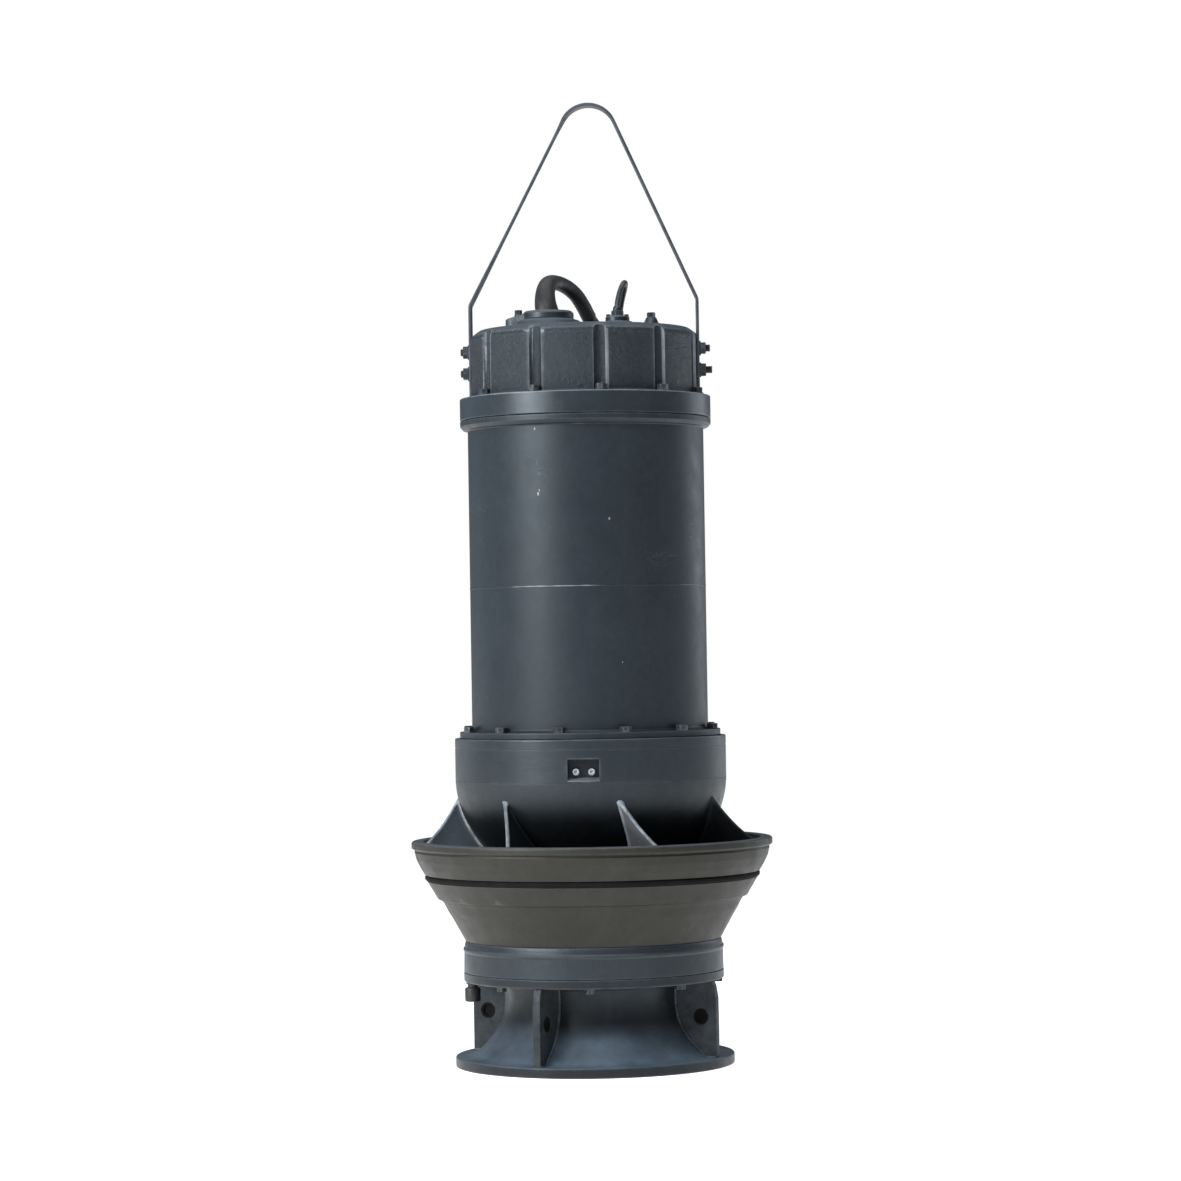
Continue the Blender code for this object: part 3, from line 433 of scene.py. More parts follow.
DARK_BOLT = paint(
    "dark_bolt",
    (0.004, 0.0045, 0.006),
    (0.009, 0.01, 0.013),
    (0.4, 0.55),
    0.1,
    0.1,
    edge_amount=0.35,
)
BARE = metal("bare_steel", (0.42, 0.43, 0.44), (0.66, 0.67, 0.68))
CHIP = metal("bare_chip", (0.12, 0.125, 0.13), (0.3, 0.31, 0.32), (0.4, 0.6), 0.3)
PLUG_STEEL = metal("plug_steel", (0.3, 0.31, 0.33), (0.48, 0.49, 0.5), (0.35, 0.5), 0.7)
CORE = metal("core_steel", (0.2, 0.2, 0.21), (0.34, 0.34, 0.35), (0.4, 0.6))
BRONZE = metal("bronze", (0.34, 0.21, 0.08), (0.5, 0.34, 0.15), (0.3, 0.5))
COPPER = metal("copper", (0.42, 0.16, 0.06), (0.62, 0.28, 0.12), (0.3, 0.5))
CARBIDE = metal("carbide", (0.05, 0.05, 0.055), (0.1, 0.1, 0.11), (0.15, 0.3), 0.2)
RUBBER = rubber("black_rubber")
RING_RUBBER = rubber("ring_rubber", (0.004, 0.004, 0.004), (0.008, 0.008, 0.008), (0.75, 0.9), 0.12)
CABLE = rubber("cable_jacket", (0.014, 0.015, 0.017), (0.035, 0.037, 0.042), (0.35, 0.5))
TIE = rubber("tie_plastic", (0.02, 0.02, 0.022), (0.035, 0.035, 0.04), (0.3, 0.45))

# ------------------------------------------------------------ mesh helpers


def add(name, verts, faces, mat, body="housing", angle=35.0):
    mesh = bpy.data.meshes.new(name)
    mesh.from_pydata(verts, [], faces)
    mesh.update()
    return wrap(name, mesh, mat, body, angle)


def wrap(name, mesh, mat, body="housing", angle=35.0):
    obj = bpy.data.objects.new(name, mesh)
    bpy.context.scene.collection.objects.link(obj)
    mesh.materials.clear()
    mesh.materials.append(mat)
    mesh.shade_smooth()
    mesh.set_sharp_from_angle(angle=math.radians(angle))
    if body:
        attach(obj, body)
    return obj


def from_bm(name, bm, mat, body="housing", angle=35.0, scale=True):
    bmesh.ops.recalc_face_normals(bm, faces=bm.faces)
    if scale:
        bmesh.ops.scale(bm, vec=(MM, MM, MM), verts=bm.verts)
    mesh = bpy.data.meshes.new(name)
    bm.to_mesh(mesh)
    bm.free()
    return wrap(name, mesh, mat, body, angle)


def even_normals(obj):
    """Normals weighted by face area, so that small fillets don't shade the large faces beside them."""
    mod = obj.modifiers.new("normals", "WEIGHTED_NORMAL")
    mod.keep_sharp = True
    mod.weight = 80


def filleted(profile, closed=True, parts=4):
    """A profile of (r, z, fillet) corners with each corner rounded."""
    out = []
    n = len(profile)
    for i, (r, z, f) in enumerate(profile):
        if not closed and i in (0, n - 1) or f <= 0:
            out.append((r, z))
            continue
        p = Vector((r, z))
        a = Vector(profile[i - 1][:2]) - p
        b = Vector(profile[(i + 1) % n][:2]) - p
        la, lb = a.length, b.length
        if la < 1e-6 or lb < 1e-6:
            out.append((r, z))
            continue
        a /= la
        b /= lb
        half = a.angle(b) / 2
        if half > 1.54:
            out.append((r, z))
            continue
        cut = min(f / math.tan(half), 0.48 * la, 0.48 * lb)
        rad = cut * math.tan(half)
        centre = p + (a + b).normalized() * (rad / math.sin(half))
        s, e = p + a * cut - centre, p + b * cut - centre
        if la - cut > 5.0:
            out.append(tuple(p + a * (cut + 1.6)))
        turn = s.angle_signed(e)
        for k in range(parts + 1):
            t = -turn * k / parts
            out.append(
                (
                    centre.x + s.x * math.cos(t) - s.y * math.sin(t),
                    centre.y + s.x * math.sin(t) + s.y * math.cos(t),
                )
            )
        if lb - cut > 5.0:
            out.append(tuple(p + b * (cut + 1.6)))
    return out


def lathe_bm(points, steps=144, closed=True, about=(0, 0), turn=0.0):
    bm = bmesh.new()
    rows = []
    for k in range(steps):
        a = TAU * k / steps + turn
        c, s = math.cos(a), math.sin(a)
        rows.append([(r, bm.verts.new((r * c + about[0], r * s + about[1], z))) for r, z in points])
    n = len(points)
    span = n if closed else n - 1
    for k in range(steps):
        p, q = rows[k], rows[(k + 1) % steps]
        for i in range(span):
            j = (i + 1) % n
            bm.faces.new((p[i][1], q[i][1], q[j][1], p[j][1]))
    bmesh.ops.remove_doubles(bm, verts=bm.verts, dist=1e-4)
    return bm


def lathe(name, profile, mat, steps=144, about=(0, 0), body="housing", closed=True, parts=4, angle=35.0):
    bm = lathe_bm(filleted(profile, closed, parts), steps, closed, about)
    bmesh.ops.recalc_face_normals(bm, faces=bm.faces)
    obj = from_bm(name, bm, mat, body, angle)
    even_normals(obj)
    return obj


def azimuth(az, r=1.0, z=0.0):
    a = math.radians(az)
    return Vector((r * math.sin(a), -r * math.cos(a), z))


def about_z(deg):
    return Matrix.Rotation(math.radians(deg), 4, "Z")


def ring(r, z, n=36):
    return [(r * math.cos(TAU * i / n), r * math.sin(TAU * i / n), z) for i in range(n)]


def hexring(af, z, n=36, round_r=None):
    pts = []
    for i in range(n):
        a = TAU * i / n
        off = (a + math.pi / 6) % (math.pi / 3) - math.pi / 6
        r = af / 2 / math.cos(math.pi / 6 - abs(off))
        if round_r:
            r = min(r, round_r)
        pts.append((r * math.cos(a), r * math.sin(a), z))
    return pts


def loft_into(bm, rings, matrix=None, caps=True):
    rows = [
        [bm.verts.new(matrix @ Vector(p) if matrix else p) for p in rg] for rg in rings
    ]
    n = len(rows[0])
    for lo, hi in zip(rows, rows[1:]):
        for i in range(n):
            j = (i + 1) % n
            bm.faces.new((lo[i], lo[j], hi[j], hi[i]))
    if caps:
        bm.faces.new(list(reversed(rows[0])))
        bm.faces.new(rows[-1])
    return rows


def hex_head_into(bm, matrix, af, h, washer=None, washer_h=1.6, stud=None, sink=0.2):
    """A hexagon head or nut on a washer, its seat at z = 0, with a chamfered top and, if asked, a stud end."""
    z = 0.0
    if washer:
        w = washer
        loft_into(
            bm,
            [ring(w - 0.3, -sink), ring(w, 0.25), ring(w, washer_h - 0.25), ring(w - 0.3, washer_h)],
            matrix,
        )
        z = washer_h
    e = af / 2 / math.cos(math.pi / 6)
    rings = [
        hexring(af, z - 0.1, round_r=e * 0.985),
        hexring(af, z + 0.35 * h, round_r=e * 0.995),
        hexring(af, z + h * 0.86, round_r=e * 0.995),
        hexring(af, z + h * 0.94, round_r=e * 0.95),
        ring(af * 0.475, z + h),
        ring(af * 0.3, z + h + 0.05),
    ]
    if stud:
        sr, sh = stud
        rings = rings[:-1] + [
            ring(sr + 0.25, z + h),
            ring(sr, z + h + 0.3),
            ring(sr, z + h + sh - 0.9),
            ring(sr - 0.9, z + h + sh),
        ]
        for k in range(int((sh - 2) / 1.5)):
            zz = z + h + 0.8 + 1.5 * k
            rings.insert(-2, ring(sr - 0.55, zz))
            rings.insert(-2, ring(sr, zz + 0.75))
        rings[:] = sorted(rings, key=lambda rg: rg[0][2])
    loft_into(bm, rings, matrix)


def boolean(obj, others, operation="DIFFERENCE"):
    for other in others:
        mod = obj.modifiers.new("b", "BOOLEAN")
        mod.operation = operation
        mod.object = other
        mod.solver = "EXACT"


def settle(obj, angle=35.0, drop=()):
    """Makes the modifiers' result the object's own mesh, and removes the helpers."""
    for mod in [m for m in obj.modifiers if m.type == "WEIGHTED_NORMAL"]:
        obj.modifiers.remove(mod)
    graph = bpy.context.evaluated_depsgraph_get()
    graph.update()
    mesh = bpy.data.meshes.new_from_object(obj.evaluated_get(graph))
    mat = obj.data.materials[0]
    obj.modifiers.clear()
    obj.data = mesh
    mesh.materials.clear()
    mesh.materials.append(mat)
    for p in mesh.polygons:
        p.material_index = 0
    mesh.shade_smooth()
    mesh.set_sharp_from_angle(angle=math.radians(angle))
    even_normals(obj)
    for d in drop:
        bpy.data.objects.remove(d, do_unlink=True)
    return obj


def helper(name, bm):
    bmesh.ops.recalc_face_normals(bm, faces=bm.faces)
    bmesh.ops.scale(bm, vec=(MM, MM, MM), verts=bm.verts)
    mesh = bpy.data.meshes.new(name)
    bm.to_mesh(mesh)
    bm.free()
    obj = bpy.data.objects.new(name, mesh)
    bpy.context.scene.collection.objects.link(obj)
    return obj


def bevel(obj, width, segments=2, angle=40.0):
    mod = obj.modifiers.new("bevel", "BEVEL")
    mod.width = width * MM
    mod.segments = segments
    mod.limit_method = "ANGLE"
    mod.angle_limit = math.radians(angle)
    mod.harden_normals = False


def cast_surface(obj, amount, scale, seed=0.0):
    """Moves a fine mesh's points in and out a little, as a sand casting's skin is."""
    me = obj.data
    for v in me.vertices:
        p = v.co * scale + Vector((seed, seed * 0.7, 0))
        v.co += v.normal * (noise.noise(p) * amount * MM)


# ------------------------------------------------------------------- cables

POWER_ROUTE = [
    (-57.0, 0.0, 1191.0),
    (-57.3, 0.5, 1198.0),
    (-58.4, 2.0, 1204.0),
    (-60.6, 6.5, 1213.0),
    (-61.5, 16.0, 1225.0),
    (-60.5, 30.0, 1239.0),
    (-56.0, 49.0, 1251.0),
    (-44.0, 75.0, 1256.0),
    (-27.0, 99.0, 1251.0),
    (-12.0, 115.0, 1239.0),
    (0.0, 128.0, 1221.0),
    (9.0, 139.0, 1204.0),
    (21.0, 156.0, 1189.0),
    (34.0, 179.0, 1182.5),
    (42.0, 205.0, 1179.0),
    (48.0, 227.0, 1169.0),
    (52.5, 247.0, 1151.0),
    (55.5, 261.0, 1127.0),
    (57.0, 268.0, 1095.0),
    (57.5, 271.0, 1050.0),
    (58.0, 276.0, 900.0),
    (60.0, 283.0, 700.0),
    (66.0, 289.0, 520.0),
    (73.0, 292.5, 400.0),
    (80.0, 297.0, 280.0),
    (86.5, 301.0, 170.0),
    (87.5, 302.8, 100.0),
    (82.0, 303.0, 63.0),
    (63.4, 303.0, 35.4),
    (34.0, 303.0, 16.5),
    (0.0, 303.0, 10.8),
]
CONTROL_ROUTE = [
    (54.0, -6.0, 1204.3),
    (54.3, -4.5, 1213.0),
    (56.6, 1.0, 1225.0),
    (61.0, 13.0, 1240.0),
    (65.5, 30.0, 1249.5),
    (67.8, 46.0, 1250.5),
    (67.0, 62.0, 1244.0),
    (63.5, 76.0, 1231.0),
    (60.0, 87.0, 1214.0),
    (59.5, 97.0, 1198.0),
    (62.5, 110.0, 1186.0),
    (69.0, 127.0, 1179.0),
    (77.0, 146.0, 1176.0),
    (83.5, 163.0, 1173.5),
    (87.5, 178.0, 1165.0),
    (89.5, 190.0, 1150.0),
    (90.5, 196.5, 1128.0),
    (91.5, 201.0, 1090.0),
    (93.0, 209.0, 1000.0),
    (97.0, 227.0, 800.0),
    (102.0, 248.0, 600.0),
    (108.0, 270.0, 430.0),
    (113.0, 277.0, 330.0),
    (121.0, 283.0, 230.0),
    (129.0, 291.0, 150.0),
    (134.0, 304.0, 106.0),
    (134.0, 327.0, 80.0),
    (128.0, 357.0, 70.8),
    (117.0, 388.0, 69.6),
    (104.0, 422.0, 69.6),
    (90.0, 460.0, 69.6),
    (77.0, 497.0, 69.6),
]
COIL_C = (0.0, 490.0)


def smooth_curve(points, step):
    pts = [Vector(p) for p in points]
    pts = [2 * pts[0] - pts[1]] + pts + [2 * pts[-1] - pts[-2]]
    out = []
    for p0, p1, p2, p3 in zip(pts, pts[1:], pts[2:], pts[3:]):
        t0 = 0.0
        t1 = t0 + (p1 - p0).length ** 0.5
        t2 = t1 + (p2 - p1).length ** 0.5
        t3 = t2 + (p3 - p2).length ** 0.5
        n = max(1, math.ceil((p2 - p1).length / step))
        for i in range(n):
            t = t1 + (t2 - t1) * i / n
            a1 = p0 * ((t1 - t) / (t1 - t0)) + p1 * ((t - t0) / (t1 - t0))
            a2 = p1 * ((t2 - t) / (t2 - t1)) + p2 * ((t - t1) / (t2 - t1))
            a3 = p2 * ((t3 - t) / (t3 - t2)) + p3 * ((t - t2) / (t3 - t2))
            b1 = a1 * ((t2 - t) / (t2 - t0)) + a2 * ((t - t0) / (t2 - t0))
            b2 = a2 * ((t3 - t) / (t3 - t1)) + a3 * ((t - t1) / (t3 - t1))
            out.append(b1 * ((t2 - t) / (t2 - t1)) + b2 * ((t - t1) / (t2 - t1)))
    out.append(pts[-2].copy())
    return out


def ease(t):
    return t * t * (3 - 2 * t)


def winding(start_deg, sense, stretches, step_deg=12.0):
    """Points of a coil, from stretches of (degrees turned, radius from, to, height from, to)."""
    out, a0 = [], start_deg
    for turned_deg, r0, r1, z0, z1 in stretches:
        n = max(2, math.ceil(turned_deg / step_deg))
        for i in range(1, n + 1):
            t = i / n
            a = math.radians(a0 + sense * turned_deg * t)
            r = r0 + (r1 - r0) * t
            z = z0 + (z1 - z0) * ease(t)
            out.append(Vector((COIL_C[0] + r * math.cos(a), COIL_C[1] + r * math.sin(a), z)))
        a0 += sense * turned_deg
    return out


def layers(count, turns, r_out, r_in, z0, dz, ramp_deg=40.0, outward=False):
    rows = []
    for k in range(count):
        a, b = (r_out, r_in) if (k % 2 == 0) != outward else (r_in, r_out)
        rows.append((turns * 360.0 - (ramp_deg if k else 0.0), a, b, z0 + dz * k, z0 + dz * k))
        if k < count - 1:
            rows.append((ramp_deg, b, b, z0 + dz * k, z0 + dz * (k + 1)))
    return rows


power_pts = smooth_curve(POWER_ROUTE, 9.0)
T = (59.7 + 3600.0 - 180.0 - 120.0) / 3 / 360.0
power_pts += winding(
    -90.0,
    -1,
    [(180.0, 187.0, 166.0, 10.8, 10.6)]
    + layers(3, T, 166.0, 94.0, 10.6, 21.6)
    + [(120.0, 94.0, 128.0, 53.8, 77.8)],
)
control_pts = smooth_curve(CONTROL_ROUTE, 7.0)
T2 = (360.0 * 24 - 329.5) / 7 / 360.0
control_pts += winding(
    5.2,
    1,
    [(360.0, 77.3, 75.2, 69.6, 4.6), (90.0, 75.2, 65.5, 4.6, 4.6)]
    + layers(7, T2, 65.5, 35.0, 4.6, 9.3)
    + [(90.0, 35.0, 52.0, 60.4, 71.6)],
    15.0,
)


def cable(name, points, radius, mat):
    curve = bpy.data.curves.new(name, "CURVE")
    curve.dimensions = "3D"
    curve.bevel_depth = radius * MM
    curve.bevel_resolution = 4
    curve.use_fill_caps = True
    spline = curve.splines.new("POLY")
    spline.points.add(len(points) - 1)
    for place, p in zip(spline.points, points):
        place.co = (p[0] * MM, p[1] * MM, p[2] * MM, 1.0)
    spline.use_smooth = True
    obj = bpy.data.objects.new(name, curve)
    curve.materials.append(mat)
    bpy.context.scene.collection.objects.link(obj)
    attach(obj, "housing")
    return obj


power = cable("power_cable_run", power_pts, 10.5, CABLE)
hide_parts("power_cable", "power_cable_coil")
control = cable("control_cable_run", control_pts, 4.5, CABLE)
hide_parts("control_cable", "control_cable_coil")


def end_cap(name, node, radius, length, at_angle, at_r, floor_z):
    bm = bmesh.new()
    m = (
        Matrix.Translation((COIL_C[0], COIL_C[1], floor_z + 0.3 + radius))
        @ about_z(at_angle)
        @ Matrix.Translation((at_r, 0, 0))
        @ Matrix.Rotation(math.pi / 2, 4, "X")
    )
    hl = length / 2
    rows = [
        (radius * 0.84, -hl),
        (radius * 0.9, -hl + 1.0),
        (radius, -hl + 2.5),
        (radius, -hl + 5.0),
        (radius * 0.94, -hl + 6.5),
        (radius * 0.95, hl - radius * 0.9),
        (radius * 0.9, hl - radius * 0.5),
        (radius * 0.74, hl - radius * 0.2),
        (radius * 0.45, hl - radius * 0.05),
        (radius * 0.12, hl),
    ]
    if node.startswith("power"):
        m = m @ Matrix.Rotation(0.0, 4, "X")
    loft_into(bm, [ring(r, z, 28) for r, z in rows], m)
    obj = from_bm(name, bm, RUBBER)
    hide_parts(node)
    return obj


power_cap = end_cap("power_end_cap", "power_cable_cap", 13.0, 46.0, 200.0, 128.0, 64.5)
control_cap = end_cap("control_end_cap", "control_cable_cap", 6.5, 26.0, 230.0, 52.0, 64.8)

# Ties round each coil.


def coil_tie(name, angle_deg, line, radius, low_r, high_r, width, thick):
    """A strap drawn tight round all the turns that pass at one angle of a coil."""
    c, s = math.cos(math.radians(angle_deg)), math.sin(math.radians(angle_deg))
    spots = []
    for p in line:
        x, y = p[0] - COIL_C[0], p[1] - COIL_C[1]
        r, across = x * c + y * s, y * c - x * s
        if low_r < r < high_r and abs(across) < 9.0 and p[2] < 70.0:
            spots.append((r, p[2]))
    bm = bmesh.new()
    m = Matrix.Translation((COIL_C[0], COIL_C[1], 0)) @ about_z(angle_deg)
    n = 96
    inner, outer = [], []
    for k in range(n):
        dr, dz = math.cos(TAU * k / n), math.sin(TAU * k / n)
        r, z = max(spots, key=lambda q: q[0] * dr + q[1] * dz)
        inner.append((r + (radius + 0.3) * dr, max(z + (radius + 0.3) * dz, 0.15 + thick)))
        outer.append((r + (radius + 0.3 + thick) * dr, max(z + (radius + 0.3 + thick) * dz, 0.15)))
    rows = []
    for pts, y in ((outer, -1), (outer, 1), (inner, 1), (inner, -1)):
        rows.append([bm.verts.new(m @ Vector((r, y * width / 2, z))) for r, z in pts])
    for k in range(4):
        a, b = rows[k], rows[(k + 1) % 4]
        for i in range(n):
            j = (i + 1) % n
            bm.faces.new((a[i], a[j], b[j], b[i]))
    bmesh.ops.recalc_face_normals(bm, faces=bm.faces)
    # The tie's buckle.
    r, z = outer[6]
    bmesh.ops.create_cube(
        bm,
        size=1.0,
        matrix=m @ Matrix.Translation((r + 0.3, 0, z)) @ Matrix.Diagonal((3.4, width + 3.0, width * 1.1, 1.0)),
    )
    obj = from_bm(name, bm, TIE)
    return obj


ties = [
    coil_tie(f"coil_tie_{k + 1}", a, power_pts, 10.5, 60.0, 200.0, 9.0, 1.2)
    for k, a in enumerate((75.0, 165.0, 285.0))
]
small_ties = [
    coil_tie(f"small_coil_tie_{k + 1}", a, control_pts, 4.5, 15.0, 85.0, 5.0, 0.9)
    for k, a in enumerate((100.0, 320.0))
]

# Rubber boot where the power cable leaves its gland.
boot_pts = smooth_curve(POWER_ROUTE, 2.5)
bm = bmesh.new()
rings, gone, prev = [], 0.0, None
for i, p in enumerate(boot_pts):
    if i:
        gone += (p - boot_pts[i - 1]).length
    if gone > 214.0:
        break
    if p.z < 1203.0 and gone < 40.0:
        continue
    t = (boot_pts[i + 1] - boot_pts[max(i - 1, 0)]).normalized()
    blend = min(1.0, max(0.0, (gone - 12.0) / 12.0))
    t = Vector((0, 0, 1)).lerp(t, blend).normalized()
    side = (Vector((1, 0, 0)) - t * t.x).normalized()
    if rings:
        side = (last_side - t * t.dot(last_side)).normalized()
    last_side = side
    upv = t.cross(side)
    f = min(1.0, max(0.0, (gone - 12.0) / 100.0))
    r = 18.8 - 6.7 * f**0.85
    if not rings:
        r = 18.4
    rings.append(
        [p + side * (r * math.cos(TAU * j / 32)) + upv * (r * math.sin(TAU * j / 32)) for j in range(32)]
    )
    last = (p, t, side, upv)
p, t, side, upv = last
rings.append([p + t * 0.9 + side * (10.7 * math.cos(TAU * j / 32)) + upv * (10.7 * math.sin(TAU * j / 32)) for j in range(32)])
loft_into(bm, rings)
boot = from_bm("power_boot_look", bm, RUBBER)
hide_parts("power_cable_boot")

# ------------------------------------------------------------------ wet end


def soft_line(points):
    """A smooth line of profile points through a few given ones."""
    return [(p.x, p.y, 0.0) for p in smooth_curve([(r, z, 0.0) for r, z in points], 3.2)]


bell = lathe(
    "suction_bell_look",
    [
        (207.5, 149.6, 1.2),
        (207.5, 135.6, 2.0),
        (158.0, 134.4, 3.0),
        (148.5, 133.0, 2.0),
        *soft_line([(145.0, 128.0), (143.3, 114.0), (144.0, 96.0), (147.6, 78.0), (156.2, 58.0), (171.2, 38.0), (184.8, 24.4), (196.0, 17.4)]),
        (204.0, 16.0, 4.0),
        (222.4, 16.0, 2.2),
        (222.4, 0.0, 1.8),
        (189.0, 0.0, 2.0),
        *soft_line([(184.6, 6.4), (176.4, 17.4), (160.6, 33.0), (146.0, 53.0), (137.4, 76.0), (134.0, 98.0), (133.0, 114.0)]),
        (136.0, 149.6, 1.0),
    ],
    BELL_PAINT,
    160,
)
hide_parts("suction_bell")


def along(table, z):
    if z <= table[0][0]:
        return table[0][1]
    for (z0, a), (z1, b) in zip(table, table[1:]):
        if z <= z1:
            return a + (b - a) * (z - z0) / (z1 - z0)
    return table[-1][1]


BELL_OUT = [(16, 194.0), (22, 190.0), (38, 172.0), (58, 156.0), (78, 147.0), (96, 144.0), (112, 143.0), (129, 144.0), (135, 150.0)]
for k in range(4):
    az = -25.0 + 90.0 * k
    heights = np.linspace(15.0, 135.5, 22)
    inner = [(along(BELL_OUT, z) - 4.0, z) for z in heights]
    outer = [(206.8, 135.5), (210.0, 129.0), (213.2, 110.0), (213.5, 80.0), (213.5, 40.0), (213.5, 15.0)]
    bm = bmesh.new()
    face = bm.faces.new([bm.verts.new((r, -6.25, z)) for r, z in inner + outer])
    pushed = bmesh.ops.extrude_face_region(bm, geom=[face])
    bmesh.ops.translate(bm, vec=(0, 12.5, 0), verts=[v for v in pushed["geom"] if isinstance(v, bmesh.types.BMVert)])
    bmesh.ops.transform(bm, matrix=about_z(az - 90.0), verts=bm.verts)
    rib = from_bm(f"bell_rib_look_{k + 1}", bm, RIB_PAINT)
    drill = bmesh.new()
    loft_into(drill, [ring(12.5, -20), ring(12.5, 20)])
    bmesh.ops.transform(
        drill,
        matrix=about_z(az - 90.0) @ Matrix.Translation((187.0, 0, 80.0)) @ Matrix.Rotation(math.pi / 2, 4, "X"),
        verts=drill.verts,
    )
    d = helper("drill", drill)
    boolean(rib, [d])
    bevel(rib, 1.0, 3, 50.0)
    settle(rib, 40.0, [d])
    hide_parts(f"bell_rib_{k + 1}")
    # Weld beads where the rib meets the bell and the base flange.
    bead = bmesh.new()
    for s in (-1, 1):
        line = [(along(BELL_OUT, z) + 0.6, s * 6.6, z) for z in np.linspace(18.0, 133.0, 60)]
        rows = []
        for i, c in enumerate(line):
            rad = 2.2 + 0.5 * math.sin(i * 1.9 + k)
            rows.append([(c[0] + rad * math.cos(TAU * j / 8), c[1] + s * rad * math.sin(TAU * j / 8), c[2]) for j in range(8)])
        loft_into(bead, rows, about_z(az - 90.0))
        line = [(r, s * 6.6, 16.4) for r in np.linspace(196.0, 212.0, 14)]
        rows = [[(c[0], c[1] + 2.2 * math.cos(TAU * j / 8), c[2] + 2.0 * math.sin(TAU * j / 8)) for j in range(8)] for c in line]
        loft_into(bead, rows, about_z(az - 90.0))
    weld = from_bm(f"rib_weld_{k + 1}", bead, BELL_PAINT)

casing_ring = lathe(
    "impeller_casing_look",
    [
        (203.8, 199.8, 2.5),
        (205.2, 195.0, 4.0),
        (206.2, 189.5, 2.0),
        (208.0, 187.5, 1.2),
        (208.0, 184.0, 1.2),
        (206.6, 182.0, 2.0),
        (207.3, 151.2, 1.0),
        (206.3, 150.2, 0.5),
        (147.0, 150.2, 0.5),
        (147.0, 166.0, 1.0),
        (160.0, 174.0, 4.0),
        (176.0, 199.8, 1.0),
    ],
    CAST_PAINT,
    160,
)
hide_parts("impeller_casing")

bm = bmesh.new()
for k in range(8):
    m = Matrix.Translation(azimuth(-2.0 + 45.0 * k, 197.0, 135.4)) @ Matrix.Rotation(math.pi, 4, "X") @ about_z(13.0 * k)
    hex_head_into(bm, m, 15.0, 7.0, 0)
under_bolts = from_bm("casing_ring_bolts", bm, BOLT)

casing = lathe(
    "diffuser_casing_look",
    [
        (269.5, 359.0, 2.5),
        (288.3, 359.0, 4.0),
        (288.3, 348.4, 2.0),
        (285.6, 346.4, 0.8),
        (282.4, 345.2, 0.6),
        (283.6, 342.0, 1.0),
        (280.6, 330.0, 8.0),
        (274.4, 317.0, 8.0),
        (267.6, 305.9, 1.0),
        (262.4, 305.6, 0.4),
        (262.4, 296.2, 0.4),
        (264.4, 296.0, 1.0),
        (261.0, 290.5, 5.0),
        (253.6, 278.0, 6.0),
        (247.3, 267.0, 1.4),
        (241.6, 265.6, 2.0),
        (237.0, 259.0, 6.0),
        (231.0, 247.0, 12.0),
        (223.0, 234.0, 12.0),
        (216.0, 221.0, 12.0),
        (209.0, 208.5, 8.0),
        (204.5, 200.2, 1.0),
        (177.0, 200.2, 1.0),
        (190.0, 216.0, 10.0),
        (212.0, 242.0, 20.0),
        (226.0, 262.0, 20.0),
        (240.0, 288.0, 20.0),
        (252.0, 315.0, 20.0),
        (262.0, 340.0, 20.0),
    ],
    CONE_PAINT,
    192,
)
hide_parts("diffuser_casing")
o_ring = lathe(
    "seat_o_ring_look",
    [
        (262.6, 296.6, 0.2),
        (265.4, 296.6, 1.6),
        (267.4, 299.0, 2.0),
        (267.4, 302.8, 2.0),
        (265.6, 305.3, 1.6),
        (262.6, 305.3, 0.2),
    ],
    RING_RUBBER,
    192,
)
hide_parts("seat_o_ring")


def hub_out(z):
    if z >= 360.0:
        return 216.3 - 0.0035 * (458.0 - z) ** 2 if z < 458.0 else 216.3
    return 120.0 + (216.3 - 0.0035 * 98.0**2 - 120.0) * (z - 264.0) / 96.0


def casing_in(z):
    return along([(200, 177.0), (216, 190.0), (242, 212.0), (262, 226.0), (288, 240.0), (315, 252.0), (340, 262.0), (359, 269.5)], z)


hub_profile = [(209.0, 455.0, 0.2), (216.3, 455.0, 0.2), (216.3, 452.0, 0.0)]
hub_profile += [(hub_out(z), z, 0.0) for z in np.linspace(449.0, 264.5, 44)]
hub_profile += [
    (96.0, 264.0, 1.0),
    (96.0, 272.0, 1.0),
    (126.0, 290.0, 4.0),
    (164.0, 345.0, 4.0),
    (186.0, 372.0, 4.0),
    (200.0, 405.0, 4.0),
    (205.0, 430.0, 1.0),
    (205.0, 442.0, 1.0),
    (209.0, 444.0, 1.0),
]
hub = lathe("diffuser_hub_look", hub_profile, HUB_PAINT, 160)
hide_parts("diffuser_hub")

